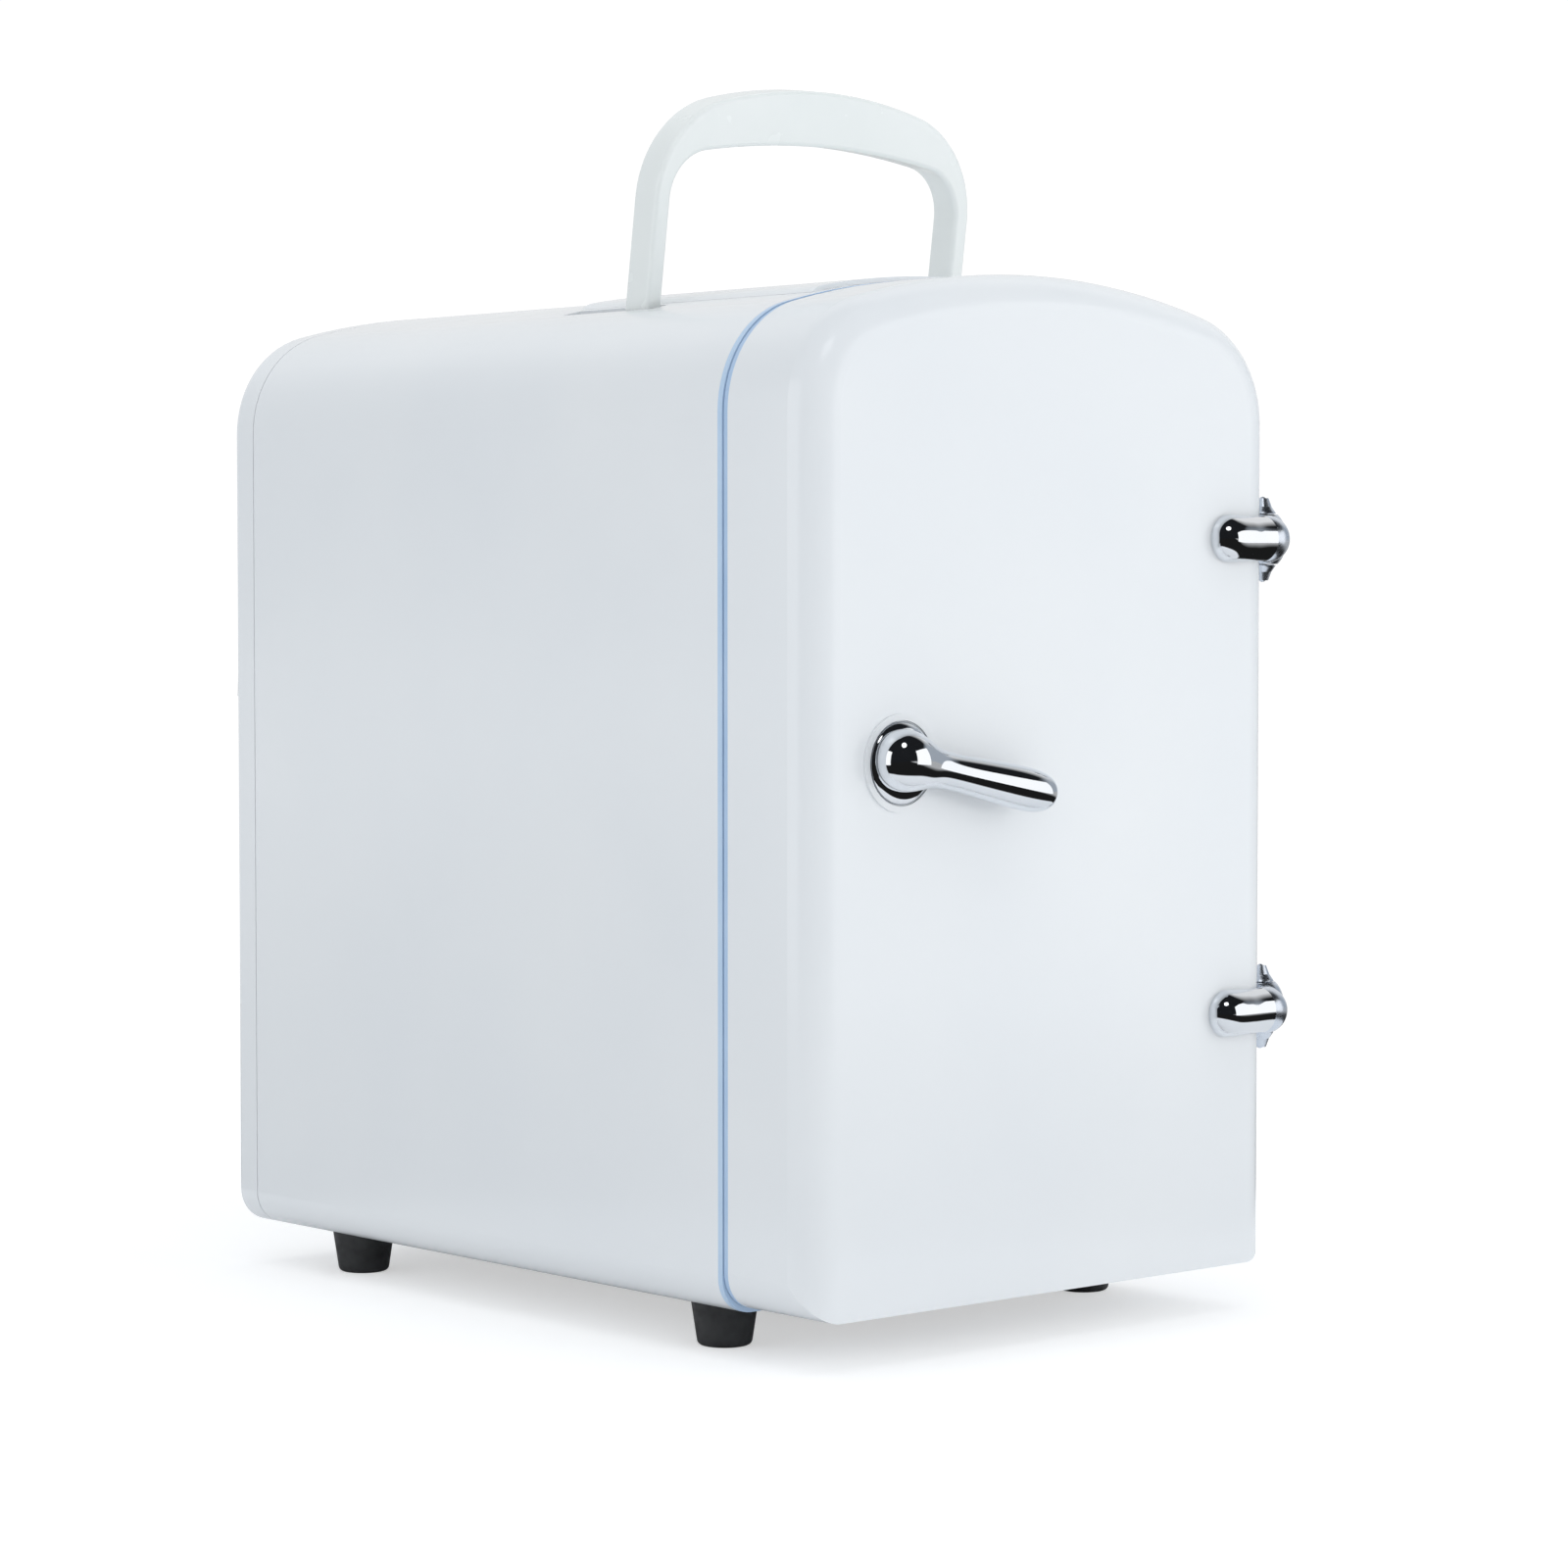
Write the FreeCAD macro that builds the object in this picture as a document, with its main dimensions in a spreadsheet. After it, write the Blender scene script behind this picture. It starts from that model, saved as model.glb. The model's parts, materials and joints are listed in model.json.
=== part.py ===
import FreeCAD, Part
import math
import os

import Sketcher
from FreeCAD import Placement, Rotation, Vector

# A small thermoelectric cooler and warmer with an arched case, a full-width door hung on two
# corner hinges, a carrying handle on top and a cooling pack behind the cabinet.
#
# Case frame: X across the front, Y from the door (minus) to the back (plus), Z up.
# X = 0 is the case's middle, Y = 0 the seam between door and case, Z = 0 the floor.
# The last step moves every piece so that the origin is the middle of the whole outline, on the floor.

DIMENSIONS = (
    ("body_width", 178.0, "width of case and door"),
    ("body_height", 282.0, "case bottom to the top of the crown"),
    ("case_depth", 231.7, "seam to the back of the rear cover"),
    ("door_depth", 36.0, "seam to the front of the door"),
    ("foot_height", 12.6, "floor to the case bottom"),
    ("door_lift", 1.4, "door bottom above the case bottom"),
    ("top_corner", 31.6, "radius of the upper corners"),
    ("base_corner", 10.2, "radius of the lower corners"),
    ("crown_radius", 256.0, "radius of the arched top"),
    ("door_edge", 10.0, "rounding of the door's front edge"),
    ("wall", 2.5, "thickness of the outer mouldings"),
    ("seam_gap", 0.5, "gap between gasket and bezel"),
    ("seam_band", 1.8, "gasket and bezel thickness shown at the seam"),
    ("fit_gap", 0.3, "clearance between nested mouldings"),
    ("cover_depth", 10.7, "depth of the rear cover's rim"),
    ("cavity_width", 136.0, "cold space, across"),
    ("cavity_height", 204.0, "cold space, up"),
    ("cavity_depth", 137.0, "cold space, seam to back wall"),
    ("cavity_floor", 36.0, "cold space floor above the table"),
    ("cavity_corner", 12.0, "corner radius of the cold space"),
    ("liner_wall", 2.0, "thickness of the inner mouldings"),
    ("bulkhead_face", 178.3, "seam to the rear bulkhead's front"),
    ("bulkhead_thickness", 2.5, "rear bulkhead"),
    ("module_height", 206.0, "cooling module above the table"),
    ("module_side", 40.0, "cooling module, square"),
    ("module_thickness", 3.8, "cooling module"),
    ("cold_fan_side", 60.0, "inner fan frame, square"),
    ("hot_fan_side", 80.0, "rear fan frame, square"),
    ("hood_half", 83.0, "half width of the rear hood"),
    ("hood_base", 175.0, "lower edge of the rear hood"),
    ("hood_reach", 9.8, "how far the hood stands off the back"),
    ("foot_spread", 70.0, "feet either side of the middle"),
    ("foot_front", 21.6, "seam to the front feet"),
    ("foot_rear", 191.8, "seam to the rear feet"),
    ("foot_top_radius", 9.4, "rubber foot at the case"),
    ("foot_base_radius", 7.5, "rubber foot at the table"),
    ("hinge_axis_across", 93.0, "hinge pins either side of the middle"),
    ("hinge_axis_depth", -28.0, "hinge pins from the seam"),
    ("hinge_low", 86.8, "lower hinge above the table"),
    ("hinge_high", 222.7, "upper hinge above the table"),
    ("hinge_arm_radius", 6.85, "bullet shaped door arm"),
    ("hinge_pin_radius", 1.2, "hinge pin"),
    ("lever_across", -57.6, "lever axis from the middle"),
    ("lever_height", 162.0, "lever axis above the table"),
    ("lever_slope", 12.0, "degrees the lever hangs below level"),
    ("handle_depth", 72.0, "handle pivots behind the seam"),
    ("handle_pivot", 282.6, "handle pivots above the table"),
    ("handle_tilt", 8.0, "degrees the raised handle leans forward"),
    ("handle_half", 60.6, "half width over the handle's legs"),
    ("handle_leg", 5.3, "thickness of a handle leg"),
    ("handle_top", 353.2, "top of the handle when square to the case"),
    ("handle_bar", 15.9, "thickness of the grip"),
    ("handle_width", 10.5, "handle, front to back"),
)

doc = FreeCAD.newDocument("mini_fridge")
sheet = doc.addObject("Spreadsheet::Sheet", "dims")


class Size(float):
    """A number that also carries the sheet expression it comes from."""

    def __new__(cls, value, text):
        size = float.__new__(cls, value)
        size.text = text
        return size

    def __add__(self, other):
        return Size(float(self) + float(other), f"({self.text} + {text_of(other)})")

    def __radd__(self, other):
        return Size(float(other) + float(self), f"({text_of(other)} + {self.text})")

    def __sub__(self, other):
        return Size(float(self) - float(other), f"({self.text} - {text_of(other)})")

    def __rsub__(self, other):
        return Size(float(other) - float(self), f"({text_of(other)} - {self.text})")

    def __mul__(self, other):
        return Size(float(self) * float(other), f"({self.text} * {text_of(other)})")

    def __rmul__(self, other):
        return Size(float(other) * float(self), f"({text_of(other)} * {self.text})")

    def __truediv__(self, other):
        return Size(float(self) / float(other), f"({self.text} / {text_of(other)})")

    def __neg__(self):
        return Size(-float(self), f"(-{self.text})")


def text_of(number):
    return number.text if isinstance(number, Size) else repr(float(number))


class Dims:
    """The sheet's cells by alias, as Sizes."""


d = Dims()
for row, (alias, value, meaning) in enumerate(DIMENSIONS, start=1):
    sheet.set(f"A{row}", meaning)
    sheet.set(f"B{row}", str(value))
    sheet.setAlias(f"B{row}", alias)
    setattr(d, alias, Size(value, f"dims.{alias}"))
doc.recompute()

ALONG_X = Rotation(Vector(0, 1, 0), 90)
ALONG_Y = Rotation(Vector(1, 0, 0), -90)
ALONG_Z = Rotation()
TURN = {"X": ALONG_X, "Y": ALONG_Y, "Z": ALONG_Z}

half = d.body_width / 2
case_bottom = d.foot_height
crown_top = d.foot_height + d.body_height
bezel_face = d.seam_gap / 2
shell_front = bezel_face + d.seam_band
shell_back = d.case_depth - d.cover_depth
door_front = -d.door_depth
gasket_face = -d.seam_gap / 2
door_back = gasket_face - d.seam_band
cavity_half = d.cavity_width / 2
cavity_top = d.cavity_floor + d.cavity_height
liner_back = d.cavity_depth + d.liner_wall

nodes = {}


def node(name, piece):
    """Names a finished piece; its label is also its file's name."""
    piece.Label = name
    nodes[name] = piece
    return piece


def bind(piece, prop, size):
    piece.setExpression(prop, text_of(size))


def place(piece, at, turn=ALONG_Z):
    piece.Placement = Placement(Vector(*[float(v) for v in at]), turn)
    for axis, size in zip("xyz", at):
        bind(piece, f"Placement.Base.{axis}", size)
    return piece


def box(name, low, high):
    piece = doc.addObject("Part::Box", name)
    for prop, start, end in zip(("Length", "Width", "Height"), low, high):
        bind(piece, prop, end - start)
    return place(piece, low)


def cylinder(name, start, axis, radius, length):
    piece = doc.addObject("Part::Cylinder", name)
    bind(piece, "Radius", radius)
    bind(piece, "Height", length)
    return place(piece, start, TURN[axis])


def cone(name, start, axis, first, last, length):
    piece = doc.addObject("Part::Cone", name)
    bind(piece, "Radius1", first)
    bind(piece, "Radius2", last)
    bind(piece, "Height", length)
    return place(piece, start, TURN[axis])


def sphere(name, centre, radius):
    piece = doc.addObject("Part::Sphere", name)
    bind(piece, "Radius", radius)
    return place(piece, centre)


def fuse(name, *pieces):
    piece = doc.addObject("Part::MultiFuse", name)
    piece.Shapes = list(pieces)
    return piece


def cut(name, base, *tools):
    piece = doc.addObject("Part::Cut", name)
    piece.Base = base
    piece.Tool = tools[0] if len(tools) == 1 else fuse(f"{name}_tools", *tools)
    return piece


def edges_where(shape, test):
    return [i for i, edge in enumerate(shape.Edges, start=1) if test(edge)]


def runs_along(edge, axis):
    """True for a straight edge along the axis."""
    if not isinstance(edge.Curve, (Part.Line, Part.LineSegment)):
        return False
    way = edge.Vertexes[-1].Point - edge.Vertexes[0].Point
    return abs(abs(way.normalize().dot(axis)) - 1) < 1e-6


def common(name, first, second):
    piece = doc.addObject("Part::Common", name)
    piece.Base = first
    piece.Tool = second
    return piece


def rounded(name, base, radius, test):
    """Fillets the edges of a piece that pass the test."""
    doc.recompute()
    piece = doc.addObject("Part::Fillet", name)
    piece.Base = base
    piece.Edges = [(i, float(radius), float(radius)) for i in edges_where(base.Shape, test)]
    return piece


def rounded_box(name, low, high, radius, axis):
    along = {"X": Vector(1, 0, 0), "Y": Vector(0, 1, 0), "Z": Vector(0, 0, 1)}[axis]
    return rounded(name, box(f"{name}_block", low, high), radius, lambda e: runs_along(e, along))


def origin_plane(body, role):
    return next(f for f in body.Origin.OriginFeatures if f.Role == role)


def sketch_on(body, name, role, offset):
    """A sketch on one of the body's own planes, moved along that plane's normal."""
    sketch = body.newObject("Sketcher::SketchObject", name)
    sketch.AttachmentSupport = (origin_plane(body, role), "")
    sketch.MapMode = "FlatFace"
    bind(sketch, "AttachmentOffset.Base.z", offset)
    return sketch


def pin_point(sketch, edge, end, across, up):
    """Ties one end of an edge to its distances from the sketch's origin."""
    for kind, size in (("DistanceX", across), ("DistanceY", up)):
        if abs(size) < 1e-9:
            on_axis = -2 if kind == "DistanceX" else -1
            sketch.addConstraint(Sketcher.Constraint("PointOnObject", edge, end, on_axis))
            continue
        row = sketch.addConstraint(Sketcher.Constraint(kind, -1, 1, edge, end, float(size)))
        sketch.setExpression(f"Constraints[{row}]", text_of(size))


LINE_START = 1
LINE_END = 2


def draw_outline(sketch, points, arc_radius=None, arc_edge=None):
    """A closed outline; one edge may be an arc of the given radius that bulges upwards."""
    count = len(points)
    for i, (start, end) in enumerate(zip(points, points[1:] + points[:1])):
        a, b = Vector(float(start[0]), float(start[1]), 0), Vector(float(end[0]), float(end[1]), 0)
        if i == arc_edge:
            sag = float(arc_radius) - math.sqrt(float(arc_radius) ** 2 - (a - b).Length ** 2 / 4)
            middle = (a + b) / 2 + Vector(0, sag, 0)
            sketch.addGeometry(Part.Arc(a, middle, b), False)
        else:
            sketch.addGeometry(Part.LineSegment(a, b), False)
    for i in range(count):
        # An arc is stored counter-clockwise, so an arc drawn right to left starts at its first point.
        sketch.addConstraint(Sketcher.Constraint("Coincident", i, LINE_END, (i + 1) % count, LINE_START))
    for i, (across, up) in enumerate(points):
        pin_point(sketch, i, 1, across, up)
    if arc_edge is not None:
        row = sketch.addConstraint(Sketcher.Constraint("Radius", arc_edge, float(arc_radius)))
        sketch.setExpression(f"Constraints[{row}]", text_of(arc_radius))


def pad(body, name, sketch, length):
    feature = body.newObject("PartDesign::Pad", name)
    feature.Profile = sketch
    bind(feature, "Length", length)
    sketch.Visibility = False
    return feature


def pocket(body, name, sketch, length, backwards=False):
    feature = body.newObject("PartDesign::Pocket", name)
    feature.Profile = sketch
    feature.Reversed = backwards
    bind(feature, "Length", length)
    return feature


def body_fillet(body, name, base, radius, test):
    doc.recompute()
    feature = body.newObject("PartDesign::Fillet", name)
    feature.Base = (base, [f"Edge{i}" for i in edges_where(base.Shape, test)])
    bind(feature, "Radius", radius)
    doc.recompute()
    return feature


def shoulder(half_width, top, radius):
    """Height at which straight sides meet a crown arc of that radius."""
    drop = math.sqrt(float(radius) ** 2 - float(half_width) ** 2)
    text = f"sqrt({text_of(radius)} ^ 2 - {text_of(half_width)} ^ 2)"
    return top - radius + Size(drop, text)


def arch(name, front, back, half_width, bottom, top, crown, corner, base_radius=None):
    """A prism along Y: upright sides, a crowned top, rounded upper and, if asked, lower corners."""
    body = doc.addObject("PartDesign::Body", name)
    sketch = sketch_on(body, f"{name}_outline", "XZ_Plane", -back)
    level = shoulder(half_width, top, crown)
    corners = [(-half_width, bottom), (half_width, bottom), (half_width, level), (-half_width, level)]
    draw_outline(sketch, corners, crown, 2)
    base = pad(body, f"{name}_pad", sketch, back - front)
    doc.recompute()
    middle = float(bottom + level) / 2

    def upper(edge):
        return runs_along(edge, Vector(0, 1, 0)) and edge.CenterOfMass.z > middle

    def lower(edge):
        return runs_along(edge, Vector(0, 1, 0)) and edge.CenterOfMass.z < middle

    last = body_fillet(body, f"{name}_upper", base, corner, upper)
    if base_radius is not None:
        body_fillet(body, f"{name}_lower", last, base_radius, lower)
    return body


def case_arch(name, front, back, inset, lift=0.0):
    """The case's outline, shrunk by the inset."""
    return arch(
        name, front, back, half - inset, case_bottom + inset + lift, crown_top - inset,
        d.crown_radius - inset, d.top_corner - inset, d.base_corner - inset,
    )


def screw(name, head_at, axis, towards, head_radius, shank_radius, length, head_height=1.8):
    """A pan head screw: the head's underside is at head_at and the shank runs on from there."""
    step = {"X": 0, "Y": 1, "Z": 2}[axis]
    head_start, shank_start = list(head_at), list(head_at)
    if towards > 0:
        head_start[step] = head_at[step] - head_height
    else:
        shank_start[step] = head_at[step] - length
    head = cylinder(f"{name}_head", head_start, axis, head_radius, head_height)
    shank = cylinder(f"{name}_shank", shank_start, axis, shank_radius, length)
    return fuse(name, head, shank)


def group(name, pieces):
    """Separate identical solids that share one node."""
    piece = doc.addObject("Part::Compound", name)
    piece.Links = pieces
    return piece


def computed(name, shape):
    piece = doc.addObject("Part::Feature", name)
    piece.Shape = shape
    return piece


# ---------------------------------------------------------------- cabinet

COVER_SCREW_RADIUS = 1.5
COVER_SCREWS = [(side * 80.5, height) for side in (-1, 1) for height in (26.0, 160.0)]
FEET = {
    "foot_front_left": (-d.foot_spread, d.foot_front),
    "foot_front_right": (d.foot_spread, d.foot_front),
    "foot_rear_left": (-d.foot_spread, d.foot_rear),
    "foot_rear_right": (d.foot_spread, d.foot_rear),
}
FOOT_SCREW_RADIUS = 2.0
HINGES = {"lower": d.hinge_low, "upper": d.hinge_high}
LEAF_SCREWS = [(11.0, -4.5), (24.0, 4.5)]
LEAF_SCREW_RADIUS = 1.4
HANDLE_SIDES = {"left": -1, "right": 1}
SLOT_FRONT = 8.5
SLOT_BACK = 32.0
SLOT_GAP = 0.6
leg_middle = d.handle_half - d.handle_leg / 2
slot_half = d.handle_leg / 2 + SLOT_GAP


def handle_slot(name, side, spare, low, high):
    """The room a handle leg needs to swing, widened by some spare."""
    middle = side * leg_middle
    reach = slot_half + spare
    return box(
        name,
        (middle - reach, d.handle_depth - SLOT_FRONT - spare, low),
        (middle + reach, d.handle_depth + SLOT_BACK + spare, high),
    )


def cabinet_shell():
    outer = case_arch("shell_outer", shell_front, shell_back, 0.0)
    inner = case_arch("shell_inner", shell_front - 1, shell_back + 1, d.wall)
    tube = cut("shell_tube", outer, inner)
    bosses = [
        cylinder(f"cover_boss_{i}", (x, shell_back - 16, z), "Y", 6.4, 16.0)
        for i, (x, z) in enumerate(COVER_SCREWS)
    ]
    outside = case_arch("shell_limit", shell_back - 20, shell_back, 0.5)
    kept = common("cover_bosses", outside, fuse("cover_boss_group", *bosses))
    holes = [
        cylinder(f"cover_bore_{i}", (x, shell_back - 14, z), "Y", COVER_SCREW_RADIUS, 15.0)
        for i, (x, z) in enumerate(COVER_SCREWS)
    ]
    for label, (x, y) in FEET.items():
        holes.append(cylinder(f"{label}_bore", (x, y, case_bottom - 1), "Z", FOOT_SCREW_RADIUS, d.wall + 2))
    for label, height in HINGES.items():
        for i, (y, rise) in enumerate(LEAF_SCREWS):
            at = (half - d.wall - 1, y, height + rise)
            holes.append(cylinder(f"leaf_bore_{label}_{i}", at, "X", LEAF_SCREW_RADIUS, d.wall + 2))
    for label, side in HANDLE_SIDES.items():
        holes.append(handle_slot(f"shell_slot_{label}", side, 0.0, d.handle_pivot - 4, crown_top))
    return cut("shell_final", fuse("shell_with_bosses", tube, kept), *holes)


def front_bezel():
    plate = case_arch("bezel_plate", bezel_face, shell_front, 0.0)
    rim = cut(
        "bezel_rim",
        case_arch("bezel_rim_outer", shell_front, shell_front + 4, d.wall + d.fit_gap),
        case_arch("bezel_rim_inner", shell_front - 1, shell_front + 5, d.wall + d.fit_gap + 2),
    )
    window = rounded_box(
        "bezel_window", (-cavity_half, bezel_face - 1, d.cavity_floor),
        (cavity_half, shell_front + 5, cavity_top), d.cavity_corner, "Y",
    )
    slot = box("keeper_slot", (-72.6, bezel_face - 1, d.lever_height - 6.1),
               (-70.4, shell_front + 1, d.lever_height + 6.1))
    bores = [
        cylinder(f"keeper_bore_{i}", (-79.0, bezel_face - 1, d.lever_height + rise), "Y", 1.25, 4.0)
        for i, rise in enumerate((-3.5, 3.5))
    ]
    sinks = [
        cone(f"keeper_sink_{i}", (-79.0, bezel_face, d.lever_height + rise), "Y", 2.5, 1.25, 1.25)
        for i, rise in enumerate((-3.5, 3.5))
    ]
    return cut("bezel_final", fuse("bezel_whole", plate, rim), window, slot, *bores, *sinks)


SHELF_LEVELS = (100.0, 136.0)
RIB_REACH = 3.5
RIB_THICKNESS = 2.0


def inner_liner():
    wall = d.liner_wall
    outer = rounded_box(
        "liner_outer", (-cavity_half - wall, shell_front, d.cavity_floor - wall),
        (cavity_half + wall, liner_back, cavity_top + wall), d.cavity_corner + wall, "Y",
    )
    inner = rounded_box(
        "liner_inner", (-cavity_half, shell_front - 1, d.cavity_floor),
        (cavity_half, d.cavity_depth, cavity_top), d.cavity_corner, "Y",
    )
    fan_half = d.cold_fan_side / 2 - 1
    hole = box(
        "liner_fan_hole", (-fan_half, d.cavity_depth - 1, d.module_height - fan_half),
        (fan_half, liner_back + 1, d.module_height + fan_half),
    )
    ribs = []
    for level in SHELF_LEVELS:
        for side in (-1, 1):
            edges = sorted((side * cavity_half, side * (cavity_half - RIB_REACH)))
            ribs.append(box(
                f"shelf_rib_{int(level)}_{'left' if side < 0 else 'right'}",
                (edges[0], 14.0, level - RIB_THICKNESS), (edges[1], d.cavity_depth, level),
            ))
    tub = cut("liner_tub", outer, inner, hole)
    return fuse("liner_final", tub, *ribs)


def cabinet_foam():
    gap = d.fit_gap
    front = shell_front + 4 + gap
    block = case_arch("foam_block", front, d.bulkhead_face, d.wall + gap)
    wall = d.liner_wall + gap
    tub = rounded_box(
        "foam_cavity", (-cavity_half - wall, front - 1, d.cavity_floor - wall),
        (cavity_half + wall, liner_back + gap, cavity_top + wall), d.cavity_corner + wall, "Y",
    )
    duct_half = d.cold_fan_side / 2 + 1
    duct = box(
        "foam_duct", (-duct_half, liner_back - 1, d.module_height - duct_half),
        (duct_half, 164.3, d.module_height + duct_half),
    )
    block_half = d.module_side / 2 + 1
    neck = box(
        "foam_neck", (-block_half, 163.0, d.module_height - block_half),
        (block_half, d.bulkhead_face + 1, d.module_height + block_half),
    )
    room = [
        handle_slot(f"foam_slot_{label}", side, 2.4, d.handle_pivot - 9.5, crown_top)
        for label, side in HANDLE_SIDES.items()
    ]
    for label, (x, y) in FEET.items():
        if label.startswith("foot_front"):
            room.append(cylinder(f"foam_{label}", (x, y, case_bottom), "Z", 5.0, 9.0))
    for label, height in HINGES.items():
        for i, (y, rise) in enumerate(LEAF_SCREWS):
            at = (half - 12, y, height + rise)
            room.append(cylinder(f"foam_leaf_{label}_{i}", at, "X", 2.2, 10.0))
    return cut("foam_final", block, tub, duct, neck, *room)


def rear_bulkhead():
    back = d.bulkhead_face + d.bulkhead_thickness
    plate = case_arch("bulkhead_plate", d.bulkhead_face, back, d.wall + d.fit_gap)
    window_half = d.module_side / 2 + 0.5
    window = box(
        "bulkhead_window", (-window_half, d.bulkhead_face - 1, d.module_height - window_half),
        (window_half, back + 1, d.module_height + window_half),
    )
    notches = []
    for i, (x, z) in enumerate(CLAMP_SCREWS):
        notches.append(cylinder(f"bulkhead_clamp_{i}", (x, d.bulkhead_face - 1, z), "Y", 1.7, 5.0))
    return cut("bulkhead_final", plate, window, *notches)


# ---------------------------------------------------------------- rear cover

VENT_PITCH = 7.0
VENT_HEIGHT = 3.2
HOOD_MARGIN = 6.0
HOOD_RIDGE = 2.0
SWITCH_AT = (-48.0, 62.0)
AC_AT = (6.0, 62.0)
DC_AT = (50.0, 62.0)
SWITCH_HALF = (6.6, 10.2)
AC_HALF = (12.0, 8.0)
DC_RADIUS = 7.0


def vent_rows(name, across, low, high, front, back):
    """A column of level slots with rounded ends, one above the other."""
    rows = []
    count = int((high - low) / VENT_PITCH) + 1
    for i in range(count):
        level = low + i * VENT_PITCH
        left, right = across
        rows.append(rounded_box(
            f"{name}_{i}", (left, front, level - VENT_HEIGHT / 2), (right, back, level + VENT_HEIGHT / 2),
            VENT_HEIGHT / 2 - 0.05, "Y",
        ))
    return rows


def hood_block(name, inset):
    """The hood: it follows the cover's outline and stands out furthest at its lower edge."""
    body = doc.addObject("PartDesign::Body", f"{name}_wedge")
    sketch = sketch_on(body, f"{name}_side", "YZ_Plane", -d.hood_half)
    front = d.case_depth - d.wall
    back = d.case_depth + d.hood_reach - inset
    ridge = d.case_depth + HOOD_RIDGE - inset
    low, high = d.hood_base, crown_top
    draw_outline(sketch, [(front, low), (back, low), (ridge, high), (front, high)])
    pad(body, f"{name}_pad", sketch, 2 * d.hood_half)
    margin = HOOD_MARGIN + inset
    outline = arch(
        f"{name}_outline", front, d.case_depth + d.hood_reach, half - margin, low - 1, crown_top - margin,
        d.crown_radius - margin, d.top_corner - margin,
    )
    block = common(name, body, outline)
    if inset > 0:
        return block

    def on_slope(point):
        share = (point.z - float(low)) / float(high - low)
        return abs(point.y - float(back) - share * float(ridge - back)) < 0.01

    def outer_edge(edge):
        return all(on_slope(v.Point) for v in edge.Vertexes) and edge.CenterOfMass.z > float(low) + 0.1

    return rounded(f"{name}_eased", block, 3.0, outer_edge)


def rear_cover():
    front = shell_back + 0.4
    outer = case_arch("cover_outer", front, d.case_depth, 0.0)
    back_edge = float(d.case_depth)
    eased = rounded("cover_eased", outer, 2.4, lambda e: abs(e.CenterOfMass.y - back_edge) < 0.01)
    inner = case_arch("cover_inner", front - 1, d.case_depth - d.wall, d.wall)
    cup = cut("cover_cup", eased, inner)
    whole = fuse("cover_with_hood", cup, hood_block("hood_outer", 0.0))
    above_wall = box(
        "hood_room", (-half, d.case_depth, d.hood_base - 1), (half, d.case_depth + 12, crown_top),
    )
    hollow = common("hood_room_kept", hood_block("hood_hollow", d.wall), above_wall)
    fan_half = d.hot_fan_side / 2
    way_in = box(
        "hood_way_in", (-fan_half, d.case_depth - d.wall - 1, d.hood_base + d.wall),
        (fan_half, d.case_depth + 1, d.module_height + fan_half),
    )
    vents = []
    for i, across in enumerate(((-58.0, -22.0), (-18.0, 18.0), (22.0, 58.0))):
        vents += vent_rows(f"hood_vent_{i}", across, 194.0, 254.0, d.case_depth + 0.6, d.case_depth + 12)
    for i, across in enumerate(((-64.0, -24.0), (-20.0, 20.0), (24.0, 64.0))):
        vents += vent_rows(f"low_vent_{i}", across, 102.0, 166.0, d.case_depth - 5, d.case_depth + 1)
    deep, out = d.case_depth - d.wall - 1, d.case_depth + 1
    fittings = [
        box("switch_cutout", (SWITCH_AT[0] - SWITCH_HALF[0], deep, SWITCH_AT[1] - SWITCH_HALF[1]),
            (SWITCH_AT[0] + SWITCH_HALF[0], out, SWITCH_AT[1] + SWITCH_HALF[1])),
        box("ac_cutout", (AC_AT[0] - AC_HALF[0], deep, AC_AT[1] - AC_HALF[1]),
            (AC_AT[0] + AC_HALF[0], out, AC_AT[1] + AC_HALF[1])),
        cylinder("dc_cutout", (DC_AT[0], deep, DC_AT[1]), "Y", DC_RADIUS, d.wall + 2),
    ]
    for i, (x, z) in enumerate(COVER_SCREWS):
        fittings.append(cylinder(f"cover_hole_{i}", (x, deep, z), "Y", COVER_SCREW_RADIUS, d.wall + 2))
    pillars = []
    for i, (x, z) in enumerate(COVER_SCREWS):
        pillars.append(
            cylinder(f"cover_pillar_{i}", (x, shell_back + 0.4, z), "Y", 4.0, d.cover_depth - d.wall - 0.2),
        )
        fittings.append(
            cylinder(f"pillar_bore_{i}", (x, shell_back - 1, z), "Y", COVER_SCREW_RADIUS, d.cover_depth + 2),
        )
    full = fuse("cover_with_pillars", whole, *pillars)
    return cut("cover_final", full, hollow, way_in, *vents, *fittings)


# ---------------------------------------------------------------- cooling pack

CLAMP_SCREWS = [(-29.0, 206.0), (29.0, 206.0)]
HOT_FAN_FRONT = 207.0
HOT_FAN_DEPTH = 18.0
COLD_FAN_FRONT = 139.6
COLD_FAN_DEPTH = 10.0
CORNERS = ((-1, -1), (-1, 1), (1, -1), (1, 1))


def square(name, side, front, back, height, radius=None):
    low = (-side / 2, front, height - side / 2)
    high = (side / 2, back, height + side / 2)
    return box(name, low, high) if radius is None else rounded_box(name, low, high, radius, "Y")


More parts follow.
